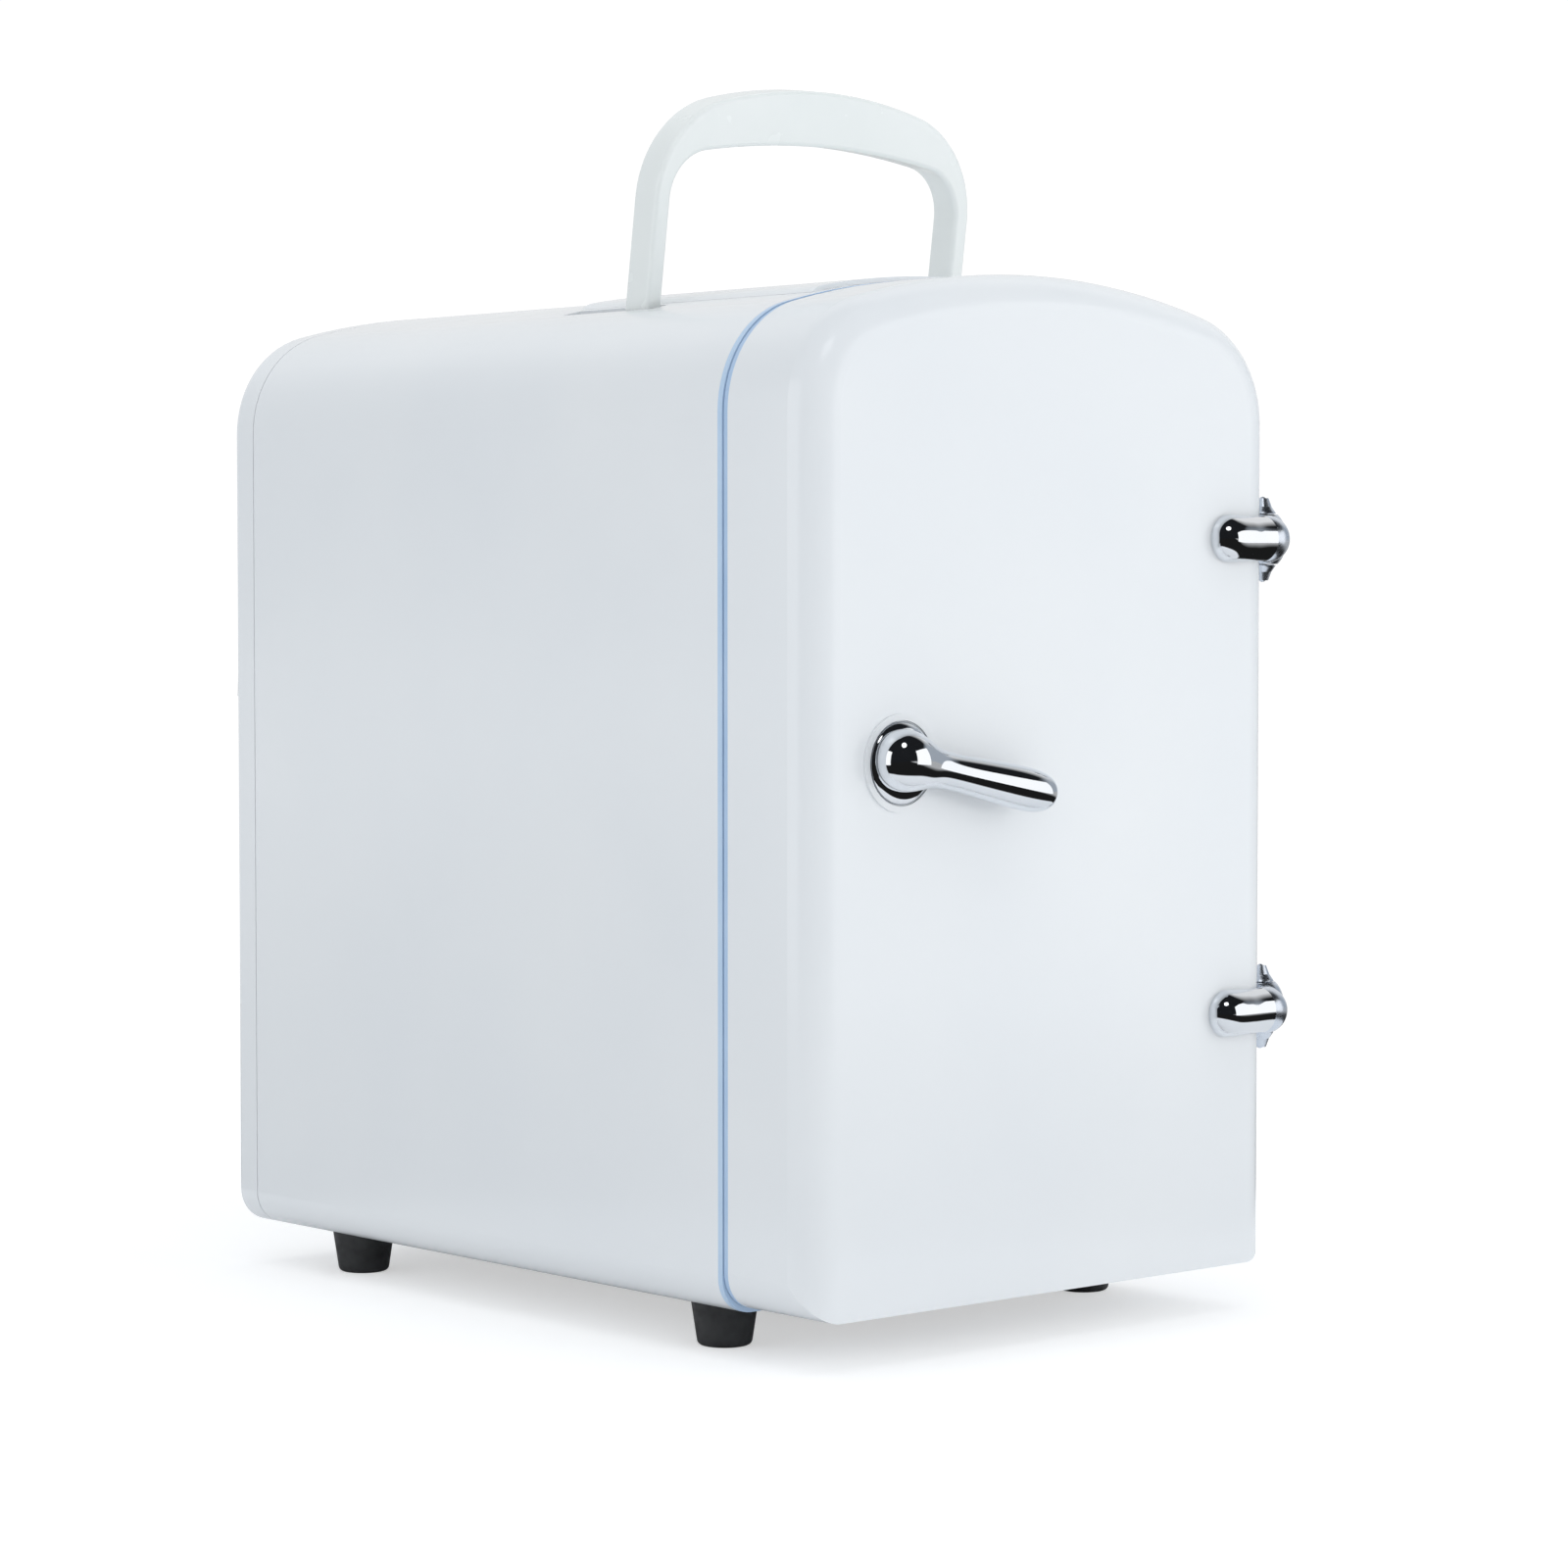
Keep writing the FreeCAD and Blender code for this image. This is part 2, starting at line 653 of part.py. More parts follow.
def fan_frame(name, side, front, depth, screw_radius):
    """A square frame with a round duct, a hub plate at its back and four struts."""
    height = d.module_height
    duct_radius = side / 2 - 2
    block = square(f"{name}_block", side, front, front + depth, height, 4.0)
    duct = cylinder(f"{name}_duct", (0.0, front - 1, height), "Y", duct_radius, depth + 2)
    hub_radius = side * 0.2
    hub = cylinder(f"{name}_hub", (0.0, front + depth - 1.6, height), "Y", hub_radius, 1.6)
    level = box(f"{name}_strut_level", (-side / 2 + 1, front + depth - 1.6, height - 1.5),
                (side / 2 - 1, front + depth, height + 1.5))
    upright = box(f"{name}_strut_upright", (-1.5, front + depth - 1.6, height - side / 2 + 1),
                  (1.5, front + depth, height + side / 2 - 1))
    reach = side / 2 - 4.5
    bores = [
        cylinder(
            f"{name}_bore_{i}", (x * reach, front - 1, height + z * reach), "Y", screw_radius, depth + 2,
        )
        for i, (x, z) in enumerate(CORNERS)
    ]
    ring = cut(f"{name}_ring", block, duct)
    axle = cylinder(f"{name}_axle", (0.0, front + 3.1, height), "Y", 1.5, depth - 3.6)
    return cut(f"{name}_final", fuse(f"{name}_struts", ring, hub, level, upright, axle), *bores)


def fan_rotor(name, side, front, depth, blades):
    """A cupped hub on the axle with pitched blades around it."""
    height = float(d.module_height)
    hub_radius = float(side) * 0.2
    tip_radius = float(side) / 2 - 3.2
    start, thick = front + 1.6, depth - 4.6
    hub = Part.makeCylinder(hub_radius, thick, Vector(0, start, height), Vector(0, 1, 0))
    hub = hub.cut(Part.makeCylinder(1.55, thick + 2, Vector(0, start + 1.2, height), Vector(0, 1, 0)))
    blade_span = tip_radius - hub_radius + 1.2
    blade = Part.makeBox(blade_span, 1.4, thick * 1.25, Vector(hub_radius - 1.2, -0.7, -thick * 0.625))
    blade.rotate(Vector(0, 0, 0), Vector(1, 0, 0), 40)
    limit = Part.makeCylinder(tip_radius, thick - 0.4, Vector(0, start + 0.2, height), Vector(0, 1, 0))
    shape = hub
    for i in range(blades):
        one = blade.copy()
        one.rotate(Vector(0, 0, 0), Vector(1, 0, 0), 90)
        one.translate(Vector(0, start + thick / 2, height))
        one.rotate(Vector(0, 0, height), Vector(0, 1, 0), 360.0 * i / blades)
        shape = shape.fuse(one.common(limit))
    return computed(name, shape.removeSplitter())


def cold_fan_grille():
    front = d.cavity_depth - 2.2
    plate = square("grille_plate", d.cold_fan_side + 4, front, d.cavity_depth, d.module_height, 8.0)
    slots = []
    low, high = float(d.module_height) - 22, float(d.module_height) + 22
    slots += vent_rows("grille_slot", (-25.0, 25.0), low, high, front - 1, d.cavity_depth + 1)
    return cut("grille_final", plate, *slots)


def finned_sink(name, width, height, base_front, base_back, fin_front, fin_back, count, fin):
    """A flat base with upright fins standing off one side."""
    middle = d.module_height
    low, high = middle - height / 2, middle + height / 2
    base = box(f"{name}_base", (-width / 2, base_front, low), (width / 2, base_back, high))
    pitch = (width - fin) / (count - 1)
    fins = [
        box(f"{name}_fin_{i}", (-width / 2 + i * pitch, fin_front, low),
            (-width / 2 + i * pitch + fin, fin_back, high))
        for i in range(count)
    ]
    return fuse(f"{name}_whole", base, *fins)


def cooling_pack():
    module_half = d.module_side / 2
    front = d.bulkhead_face
    back = front + d.module_thickness
    node("cold_fan_grille", cold_fan_grille())
    node("cold_fan_frame", fan_frame("cold_frame", d.cold_fan_side, COLD_FAN_FRONT, COLD_FAN_DEPTH, 1.4))
    node("cold_fan_rotor", fan_rotor("cold_rotor", d.cold_fan_side, COLD_FAN_FRONT, COLD_FAN_DEPTH, 7))
    cold_reach = d.cold_fan_side / 2 - 4.5
    node("cold_fan_screws", group("cold_fan_screws", [
        screw(f"cold_fan_screw_{i}", (x * cold_reach, COLD_FAN_FRONT, d.module_height + z * cold_reach),
              "Y", 1, 2.4, 1.4, COLD_FAN_DEPTH + 1.4, 1.4)
        for i, (x, z) in enumerate(CORNERS)
    ]))
    node("cold_sink", finned_sink("cold_sink", 60.0, 60.0, 160.0, 164.0, 151.0, 160.0, 11, 1.5))
    node("cold_block", square("cold_block", d.module_side, 164.0, front, d.module_height))
    node("cooling_module", square("cooling_module", d.module_side, front, back, d.module_height, 1.0))
    hot = finned_sink("hot_sink", 120.0, 100.0, back, back + 6, back + 6, HOT_FAN_FRONT, 17, 1.6)
    clamps = [
        cylinder(f"hot_clamp_{i}", (x, back - 1, z), "Y", 1.5, 30.0)
        for i, (x, z) in enumerate(CLAMP_SCREWS)
    ]
    wells = [
        cylinder(f"hot_well_{i}", (x, back + 6, z), "Y", 4.0, 30.0) for i, (x, z) in enumerate(CLAMP_SCREWS)
    ]
    node("hot_sink", cut("hot_sink_drilled", hot, *clamps, *wells))
    node("hot_fan_frame", fan_frame("hot_frame", d.hot_fan_side, HOT_FAN_FRONT, HOT_FAN_DEPTH, 1.6))
    node("hot_fan_rotor", fan_rotor("hot_rotor", d.hot_fan_side, HOT_FAN_FRONT, HOT_FAN_DEPTH, 9))
    reach = d.hot_fan_side / 2 - 4.5
    node("hot_fan_screws", group("hot_fan_screws", [
        screw(f"hot_fan_screw_{i}", (x * reach, HOT_FAN_FRONT + HOT_FAN_DEPTH, d.module_height + z * reach),
              "Y", -1, 3.0, 1.6, HOT_FAN_DEPTH)
        for i, (x, z) in enumerate(CORNERS)
    ]))
    node("clamp_screws", group("clamp_screws", [
        screw(f"clamp_screw_{i}", (x, back + 6, z), "Y", -1, 3.2, 1.5, 6 + float(d.module_thickness) - 0.6)
        for i, (x, z) in enumerate(CLAMP_SCREWS)
    ]))


# ---------------------------------------------------------------- power

BOARD_LEVEL = 24.0
BOARD_THICKNESS = 1.6
BOARD = ((-56.0, 184.0), (56.0, 216.0))
BOARD_HOLES = [(-52.0, 188.0), (-52.0, 212.0), (52.0, 188.0), (52.0, 212.0)]


def power_board():
    (left, front), (right, back) = BOARD
    plate = box("board_plate", (left, front, BOARD_LEVEL), (right, back, BOARD_LEVEL + BOARD_THICKNESS))
    holes = [
        cylinder(f"board_hole_{i}", (x, y, BOARD_LEVEL - 1), "Z", 1.4, 4.0)
        for i, (x, y) in enumerate(BOARD_HOLES)
    ]
    return cut("board_final", plate, *holes)


def board_components():
    """Transformer, capacitors, coil and chip packages that stand on the board."""
    top = BOARD_LEVEL + BOARD_THICKNESS
    parts = [
        box("transformer_core", (-16.0, 188.0, top), (14.0, 212.0, top + 20)),
        box("bridge_block", (38.0, 189.0, top), (46.0, 193.0, top + 14)),
        box("filter_block", (-48.0, 204.0, top), (-30.0, 213.0, top + 12)),
        box("driver_chip", (20.0, 205.0, top), (32.0, 211.0, top + 3)),
    ]
    for i, (x, y, radius, tall) in enumerate(((-38.0, 195.0, 6.5, 20.0), (28.0, 195.0, 5.0, 16.0),
                                              (44.0, 204.0, 4.0, 12.0))):
        parts.append(cylinder(f"capacitor_{i}", (x, y, top), "Z", radius, tall))
    return group("board_parts", parts)


def board_posts():
    """Moulded posts between the case bottom and the board."""
    floor = case_bottom + d.wall
    posts = []
    for i, (x, y) in enumerate(BOARD_HOLES):
        post = cylinder(f"post_{i}", (x, y, floor), "Z", 3.4, BOARD_LEVEL - floor)
        bore = cylinder(f"post_bore_{i}", (x, y, BOARD_LEVEL - 5), "Z", 1.2, 6.0)
        posts.append(cut(f"board_post_{i}", post, bore))
    return group("board_posts_group", posts)


def switch_housing():
    (x, z), (wide, tall) = SWITCH_AT, SWITCH_HALF
    out = d.case_depth
    flange = rounded_box("switch_flange", (x - wide - 1.6, out, z - tall - 1.6),
                         (x + wide + 1.6, out + 1.5, z + tall + 1.6), 1.5, "Y")
    core = box(
        "switch_core", (x - wide + 0.1, out - 15, z - tall + 0.1),
        (x + wide - 0.1, out + 0.5, z + tall - 0.1),
    )
    room = box("switch_room", (x - 5.2, out - 11, z - 8.8), (x + 5.2, out + 3, z + 8.8))
    bore = cylinder("switch_pivot_bore", (x - 6.2, out - 3.0, z), "X", 1.04, 12.4)
    blades = [
        box(f"switch_blade_{i}", (x - 2.4, out - 22, z + rise - 0.4), (x + 2.4, out - 14, z + rise + 0.4))
        for i, rise in enumerate((-6.0, 0.0, 6.0))
    ]
    return fuse(
        "switch_housing_whole", cut("switch_body", fuse("switch_solid", flange, core), room, bore), *blades,
    )


def mode_rocker():
    """A rocker key with two faces that meet in a shallow valley, on its pivot stub."""
    (x, z), out = SWITCH_AT, float(d.case_depth)
    pivot = out - 3.0
    rise, tall = 5.2, 8.0
    outline = [
        (pivot - 2.6, z - 5.0), (pivot + rise - 0.4, z - tall), (pivot + rise - 1.6, z),
        (pivot + rise - 0.4, z + tall), (pivot - 2.6, z + 5.0),
    ]
    body = doc.addObject("PartDesign::Body", "rocker_body")
    sketch = sketch_on(body, "rocker_side", "YZ_Plane", x - 4.8)
    draw_outline(sketch, outline)
    pad(body, "rocker_pad", sketch, 9.6)
    pivot_pin = cylinder("rocker_pin", (x - 6.1, pivot, z), "X", 1.0, 12.2)
    return fuse("rocker_final", body, pivot_pin)


def ac_inlet():
    """A two-pin mains inlet: flange, body, an oval socket and its two pins."""
    (x, z), (wide, tall) = AC_AT, AC_HALF
    out = d.case_depth
    flange = rounded_box(
        "ac_flange", (x - wide - 2, out, z - tall - 2), (x + wide + 2, out + 1.6, z + tall + 2), 3.0, "Y",
    )
    core = box(
        "ac_core", (x - wide + 0.1, out - 16, z - tall + 0.1), (x + wide - 0.1, out + 0.5, z + tall - 0.1),
    )
    socket = rounded_box("ac_socket", (x - 8.6, out - 11.5, z - 4.7), (x + 8.6, out + 3, z + 4.7), 4.6, "Y")
    pins = [
        cylinder(f"ac_pin_{i}", (x + side * 4.3, out - 22, z), "Y", 1.2, 20.0)
        for i, side in enumerate((-1, 1))
    ]
    return fuse("ac_final", cut("ac_body", fuse("ac_solid", flange, core), socket), *pins)


def dc_inlet():
    """A round low-voltage socket with a centre pin and a key."""
    (x, z), out = DC_AT, d.case_depth
    flange = cylinder("dc_flange", (x, out, z), "Y", DC_RADIUS + 2, 1.6)
    core = cylinder("dc_core", (x, out - 14, z), "Y", DC_RADIUS - 0.1, 14.5)
    socket = cylinder("dc_socket", (x, out - 10, z), "Y", 5.9, 14.0)
    pin = cylinder("dc_pin", (x, out - 19, z), "Y", 1.0, 17.0)
    return fuse("dc_final", cut("dc_body", fuse("dc_solid", flange, core), socket), pin)


def lead(name, route, radius):
    """A wire along straight runs that tangent arcs join."""
    points = [Vector(*p) for p in route]
    edges, last = [], points[0]
    for before, corner, after in zip(points, points[1:], points[2:]):
        into, onward = corner - before, after - corner
        turn = into.getAngle(onward)
        bend = 0.45 * min(into.Length, onward.Length) / math.tan(turn / 2)
        trim = bend * math.tan(turn / 2)
        start = corner - into.normalize() * trim
        end = corner + onward.normalize() * trim
        inside = (start + end) / 2 - corner
        centre_far = bend / math.cos(turn / 2)
        middle = corner + inside.normalize() * (centre_far - bend)
        edges.append(Part.LineSegment(last, start).toShape())
        edges.append(Part.Arc(start, middle, end).toShape())
        last = end
    edges.append(Part.LineSegment(last, points[-1]).toShape())
    path = Part.Wire(edges)
    way = points[1] - points[0]
    ring = Part.Wire(Part.makeCircle(radius, points[0], way))
    return path.makePipeShell([ring], True, False)


def leads():
    top = BOARD_LEVEL + BOARD_THICKNESS
    module = [
        lead("module_red", [(24.0, 201.0, top), (24.0, 201.0, 60.0), (18.0, 196.0, 92.0),
                            (10.0, 181.45, 122.0), (10.0, 181.45, 185.9)], 0.55),
        lead("module_black", [(18.0, 201.0, top), (18.0, 201.0, 56.0), (12.0, 196.0, 88.0),
                              (5.0, 181.45, 118.0), (5.0, 181.45, 185.9)], 0.55),
    ]
    fan = [lead("fan_pair", [(-24.0, 206.0, top), (-24.0, 206.0, 60.0), (-28.0, 210.0, 90.0),
                             (-34.0, 216.0, 120.0), (-34.0, 216.0, 165.6)], 1.1)]
    return computed("module_wires", Part.Compound(module)), computed("fan_wire", Part.Compound(fan))


# ---------------------------------------------------------------- feet

def foot(label, x, y):
    cone_part = cone(
        f"{label}_cone", (x, y, 0.0), "Z", d.foot_base_radius, d.foot_top_radius, d.foot_height,
    )
    eased = rounded(f"{label}_eased", cone_part, 1.6,
                    lambda e: e.CenterOfMass.z < 0.01 and isinstance(e.Curve, Part.Circle))
    well = cylinder(f"{label}_well", (x, y, -1.0), "Z", 4.2, 7.0)
    bore = cylinder(f"{label}_through", (x, y, 0.0), "Z", FOOT_SCREW_RADIUS, d.foot_height + 1)
    return cut(f"{label}_final", eased, well, bore)


# ---------------------------------------------------------------- carrying handle

HANDLE_PIN_RADIUS = 1.75
HANDLE_PIN_GAP = 0.05
SADDLE_RISE = 1.3
HANDLE_EASE = 1.3


def handle():
    """An arched bail: thin legs that widen into the grip, turned forward about its pivots."""
    front = d.handle_depth - d.handle_width / 2
    back = d.handle_depth + d.handle_width / 2
    low = d.handle_pivot
    outer = arch("bail_outer", front, back, d.handle_half, low, d.handle_top, 154.4, 30.6)
    inner = arch("bail_inner", front - 1, back + 1, d.handle_half - d.handle_leg, low - 1,
                 d.handle_top - d.handle_bar, 266.0, 14.6)
    faces = (float(front), float(back))

    def face_edge(edge):
        on_face = any(all(abs(v.Point.y - face) < 0.01 for v in edge.Vertexes) for face in faces)
        return on_face and edge.CenterOfMass.z > float(low) + 0.1

    bail = rounded("bail_eased", cut("bail", outer, inner), HANDLE_EASE, face_edge)
    eyes, bores = [], []
    for label, side in HANDLE_SIDES.items():
        start = side * leg_middle - d.handle_leg / 2
        eyes.append(
            cylinder(f"bail_eye_{label}", (start, d.handle_depth, low), "X", d.handle_width / 2, d.handle_leg),
        )
        bores.append(cylinder(f"bail_bore_{label}", (start - 1, d.handle_depth, low), "X",
                              HANDLE_PIN_RADIUS + HANDLE_PIN_GAP, d.handle_leg + 2))
    whole = cut("bail_drilled", fuse("bail_with_eyes", bail, *eyes), *bores)
    return whole


def handle_cup(label, side):
    """The moulded pocket under a slot, in which a leg swings on its pin."""
    middle = side * leg_middle
    outside = box(
        f"cup_outer_{label}",
        (middle - slot_half - 2, d.handle_depth - SLOT_FRONT - 2, d.handle_pivot - 9),
        (middle + slot_half + 2, d.handle_depth + SLOT_BACK + 2, crown_top),
    )
    under = case_arch(f"cup_limit_{label}", d.handle_depth - 20, d.handle_depth + 40, d.wall + 0.05)
    kept = common(f"cup_trimmed_{label}", outside, under)
    room = handle_slot(f"cup_room_{label}", side, 0.0, d.handle_pivot - 7, crown_top + 1)
    bore = cylinder(
        f"cup_bore_{label}", (middle - 8, d.handle_depth, d.handle_pivot), "X", HANDLE_PIN_RADIUS, 16.0,
    )
    return cut(f"cup_{label}", kept, room, bore)


def handle_saddle():
    """A thin raised panel on the crown between the handle's legs."""
    reach = leg_middle - slot_half - 1.4
    slab = arch("saddle_slab", 7.0, 108.0, reach, crown_top - 20, crown_top + SADDLE_RISE,
                d.crown_radius + SADDLE_RISE, 8.0)
    seat = arch("saddle_seat", 6.0, 109.0, reach + 5, crown_top - 25, crown_top, d.crown_radius, 8.0)
    return cut("saddle_final", slab, seat)


# ---------------------------------------------------------------- door

def door_block(name, front, back, inset):
    """The door's outline with its front edge rounded up the sides and over the top."""
    bottom = case_bottom + d.door_lift + inset
    body = arch(name, front, back, half - inset, bottom, crown_top - inset, d.crown_radius - inset,
                d.top_corner - inset)
    doc.recompute()
    base = body.Tip
    low = float(bottom)

    def front_edge(edge):
        on_front = all(abs(v.Point.y - float(front)) < 0.01 for v in edge.Vertexes)
        return on_front and abs(edge.CenterOfMass.z - low) > 1

    body_fillet(body, f"{name}_edge", base, d.door_edge - inset, front_edge)
    sketch = sketch_on(body, f"{name}_waste", "XZ_Plane", -back - 1)
    corner = float(d.base_corner - inset)
    for side in (-1, 1):
        x, z = side * float(half - inset), low
        wide, centre = x - side * corner, Vector(x - side * corner, z + corner, 0)
        arc = Part.Arc(Vector(x, z + corner, 0),
                       centre + Vector(side * corner * math.sqrt(0.5), -corner * math.sqrt(0.5), 0),
                       Vector(wide, z, 0))
        ring = [Vector(wide, z, 0), Vector(wide, z - 2, 0), Vector(x + side * 2, z - 2, 0),
                Vector(x + side * 2, z + corner, 0), Vector(x, z + corner, 0)]
        sketch.addGeometry(arc, False)
        for a, b in zip(ring, ring[1:]):
            sketch.addGeometry(Part.LineSegment(a, b), False)
    before = body.Shape.Volume
    pocket(body, f"{name}_corners", sketch, back - front + 3, backwards=True)
    doc.recompute()
    if not body.Shape.Volume < before:
        raise RuntimeError(f"{name}: the lower corners were not rounded")
    return body


LATCH_BACK = -12.0
TONGUE_FRONT = -11.8
TONGUE_BACK = -9.2
SHAFT_RADIUS = 3.0


def lever_cylinder(name, front, back, radius):
    return cylinder(name, (d.lever_across, front, d.lever_height), "Y", radius, back - front)


ARM_SCREWS = (68.5, 76.0)
ARM_SCREW_RADIUS = 1.5


def door_shell():
    outer = door_block("door_outer", door_front, door_back, 0.0)
    inner = door_block("door_hollow", door_front + d.wall, door_back + 1, d.wall)
    bores = [lever_cylinder("door_lever_bore", door_front - 1, door_front + 6, 6.2)]
    for label, height in HINGES.items():
        for i, x in enumerate(ARM_SCREWS):
            bores.append(cylinder(f"door_arm_bore_{label}_{i}", (x, door_front - 1, height), "Y",
                                  ARM_SCREW_RADIUS, d.wall + 2))
    return cut("door_shell_final", outer, inner, *bores)


LINER_PLATE_FRONT = -5.3
PLUG_HALF = 61.0
PLUG_REACH = 9.0


def door_liner():
    """The door's inner panel: a flat border under the gasket and a raised frame inside it."""
    plate = case_arch("door_liner_plate", LINER_PLATE_FRONT, door_back, d.wall + d.fit_gap, d.door_lift)
    low, high = d.cavity_floor + 8, cavity_top - 8
    outer = rounded_box(
        "plug_outer", (-PLUG_HALF, door_back - 1, low), (PLUG_HALF, PLUG_REACH, high), 9.0, "Y",
    )
    inner = rounded_box("plug_inner", (-PLUG_HALF + 2.5, door_back, low + 2.5),
                        (PLUG_HALF - 2.5, PLUG_REACH + 1, high - 2.5), 6.5, "Y")
    frame = cut("plug_frame", outer, inner)
    slot = box("liner_keeper_slot", (-74.4, LINER_PLATE_FRONT - 1, d.lever_height - 8),
               (-67.5, door_back + 1, d.lever_height + 8))
    rails = [
        box(f"bin_rail_{i}", (side * (PLUG_HALF - 2.5) - (3.0 if side > 0 else 0.0), door_back, 74.0),
            (side * (PLUG_HALF - 2.5) + (0.0 if side > 0 else 3.0), PLUG_REACH - 1, 77.0))
        for i, side in enumerate((-1, 1))
    ]
    return cut("door_liner_final", fuse("door_liner_whole", plate, frame, *rails), slot)


def door_foam():
    gap = d.fit_gap
    block = door_block("door_foam_block", door_front + d.wall + gap, LINER_PLATE_FRONT - gap, d.wall + gap)
    room = [
        lever_cylinder("foam_latch_bush", door_front, LATCH_BACK + 1, 10.2),
        lever_cylinder("foam_tongue", LATCH_BACK - 2, 0.0, 14.0),
        box(
            "foam_keeper", (-76.0, LATCH_BACK - 3, d.lever_height - 9),
            (d.lever_across, 0.0, d.lever_height + 9),
        ),
    ]
    for label, height in HINGES.items():
        for i, x in enumerate(ARM_SCREWS):
            room.append(cylinder(f"foam_arm_{label}_{i}", (x, door_front, height), "Y", 4.0, 6.5))
    return cut("door_foam_final", block, *room)


def door_gasket():
    ring = case_arch("gasket_outer", door_back, gasket_face, 0.25, d.door_lift)
    inner = rounded_box("gasket_inner", (-half + 14.8, door_back - 1, case_bottom + 16),
                        (half - 14.8, 0.0, cavity_top + 3), 14.0, "Y")
    return cut("gasket_final", ring, inner)


def door_bin():
    """A shallow tray that hooks over two rails inside the door's raised frame."""
    side = PLUG_HALF - 3.1
    low, high = 52.0, 92.0
    outer = rounded_box("bin_outer", (-side, door_back + 0.1, low), (side, 24.0, high), 3.0, "X")
    inner = box("bin_inner", (-side + 2, door_back + 2, low + 2), (side - 2, 22.0, high + 1))
    notches = [
        box(
            f"bin_notch_{i}", (side_sign * side - 3.2, door_back - 1, 73.4),
            (side_sign * side + 3.2, PLUG_REACH - 0.4, 77.6),
        )
        for i, side_sign in enumerate((-1, 1))
    ]
    trim = [
        box(f"bin_trim_{i}", (side_sign * side - (2.6 if side_sign > 0 else 0.0) - 0.1, 8.0, low - 1),
            (side_sign * side + (0.0 if side_sign > 0 else 2.6) + 0.1, 25.0, high + 1))
        for i, side_sign in enumerate((-1, 1))
    ]
    ends = [
        box(f"bin_end_{i}", (side_sign * (side - 2.6) - 1.0, PLUG_REACH - 0.2, low + 1),
            (side_sign * (side - 2.6) + 1.0, 23.0, high - 6))
        for i, side_sign in enumerate((-1, 1))
    ]
    tray = cut("bin_tray", outer, inner, *notches, *trim)
    return fuse("bin_final", tray, *ends)


# ---------------------------------------------------------------- lever and latch



def latch_lever():
    """A ball hub, a slim neck and a club shaped arm that stands off the door."""
    hub = Vector(float(d.lever_across), float(door_front) - 4.6, float(d.lever_height))
    reach, lean = 43.0, 6.0
    tip = hub + Vector(reach, -lean, 0)
    ball = sphere("lever_ball", (d.lever_across, door_front - 4.6, d.lever_height), 6.9)
    arm = doc.addObject("Part::Cone", "lever_arm")
    arm.Radius1, arm.Radius2, arm.Height = 4.7, 5.6, (tip - hub).Length
    arm.Placement = Placement(hub, Rotation(Vector(0, 0, 1), tip - hub))
    end = doc.addObject("Part::Sphere", "lever_end")
    end.Radius = 5.6
    end.Placement = Placement(tip, Rotation())
    skirt = cone("lever_skirt", (d.lever_across, door_front - 8.0, d.lever_height), "Y", 6.0, 9.6, 5.8)
    socket = lever_cylinder("lever_socket", door_front - 7.0, door_front, SHAFT_RADIUS)
    behind = lever_cylinder("lever_behind", door_front - 2.2, door_front + 8, 12.0)
    return cut("lever_final", fuse("lever_whole", ball, arm, end, skirt), socket, behind)


def lever_rosette():
    dome = cone("rosette_dome", (d.lever_across, door_front - 2.2, d.lever_height), "Y", 9.6, 11.15, 1.0)
    skirt = lever_cylinder("rosette_skirt", door_front - 1.2, door_front - 0.2, 11.15)
    bore = lever_cylinder("rosette_bore", door_front - 4, door_front + 1, SHAFT_RADIUS)
    return cut("rosette_final", fuse("rosette_whole", dome, skirt), bore)


def lever_collar():
    ring = lever_cylinder("collar_ring", door_front - 0.8, door_front, 13.2)
    bore = lever_cylinder("collar_bore", door_front - 2, door_front + 1, 11.5)
    return cut("collar_final", ring, bore)


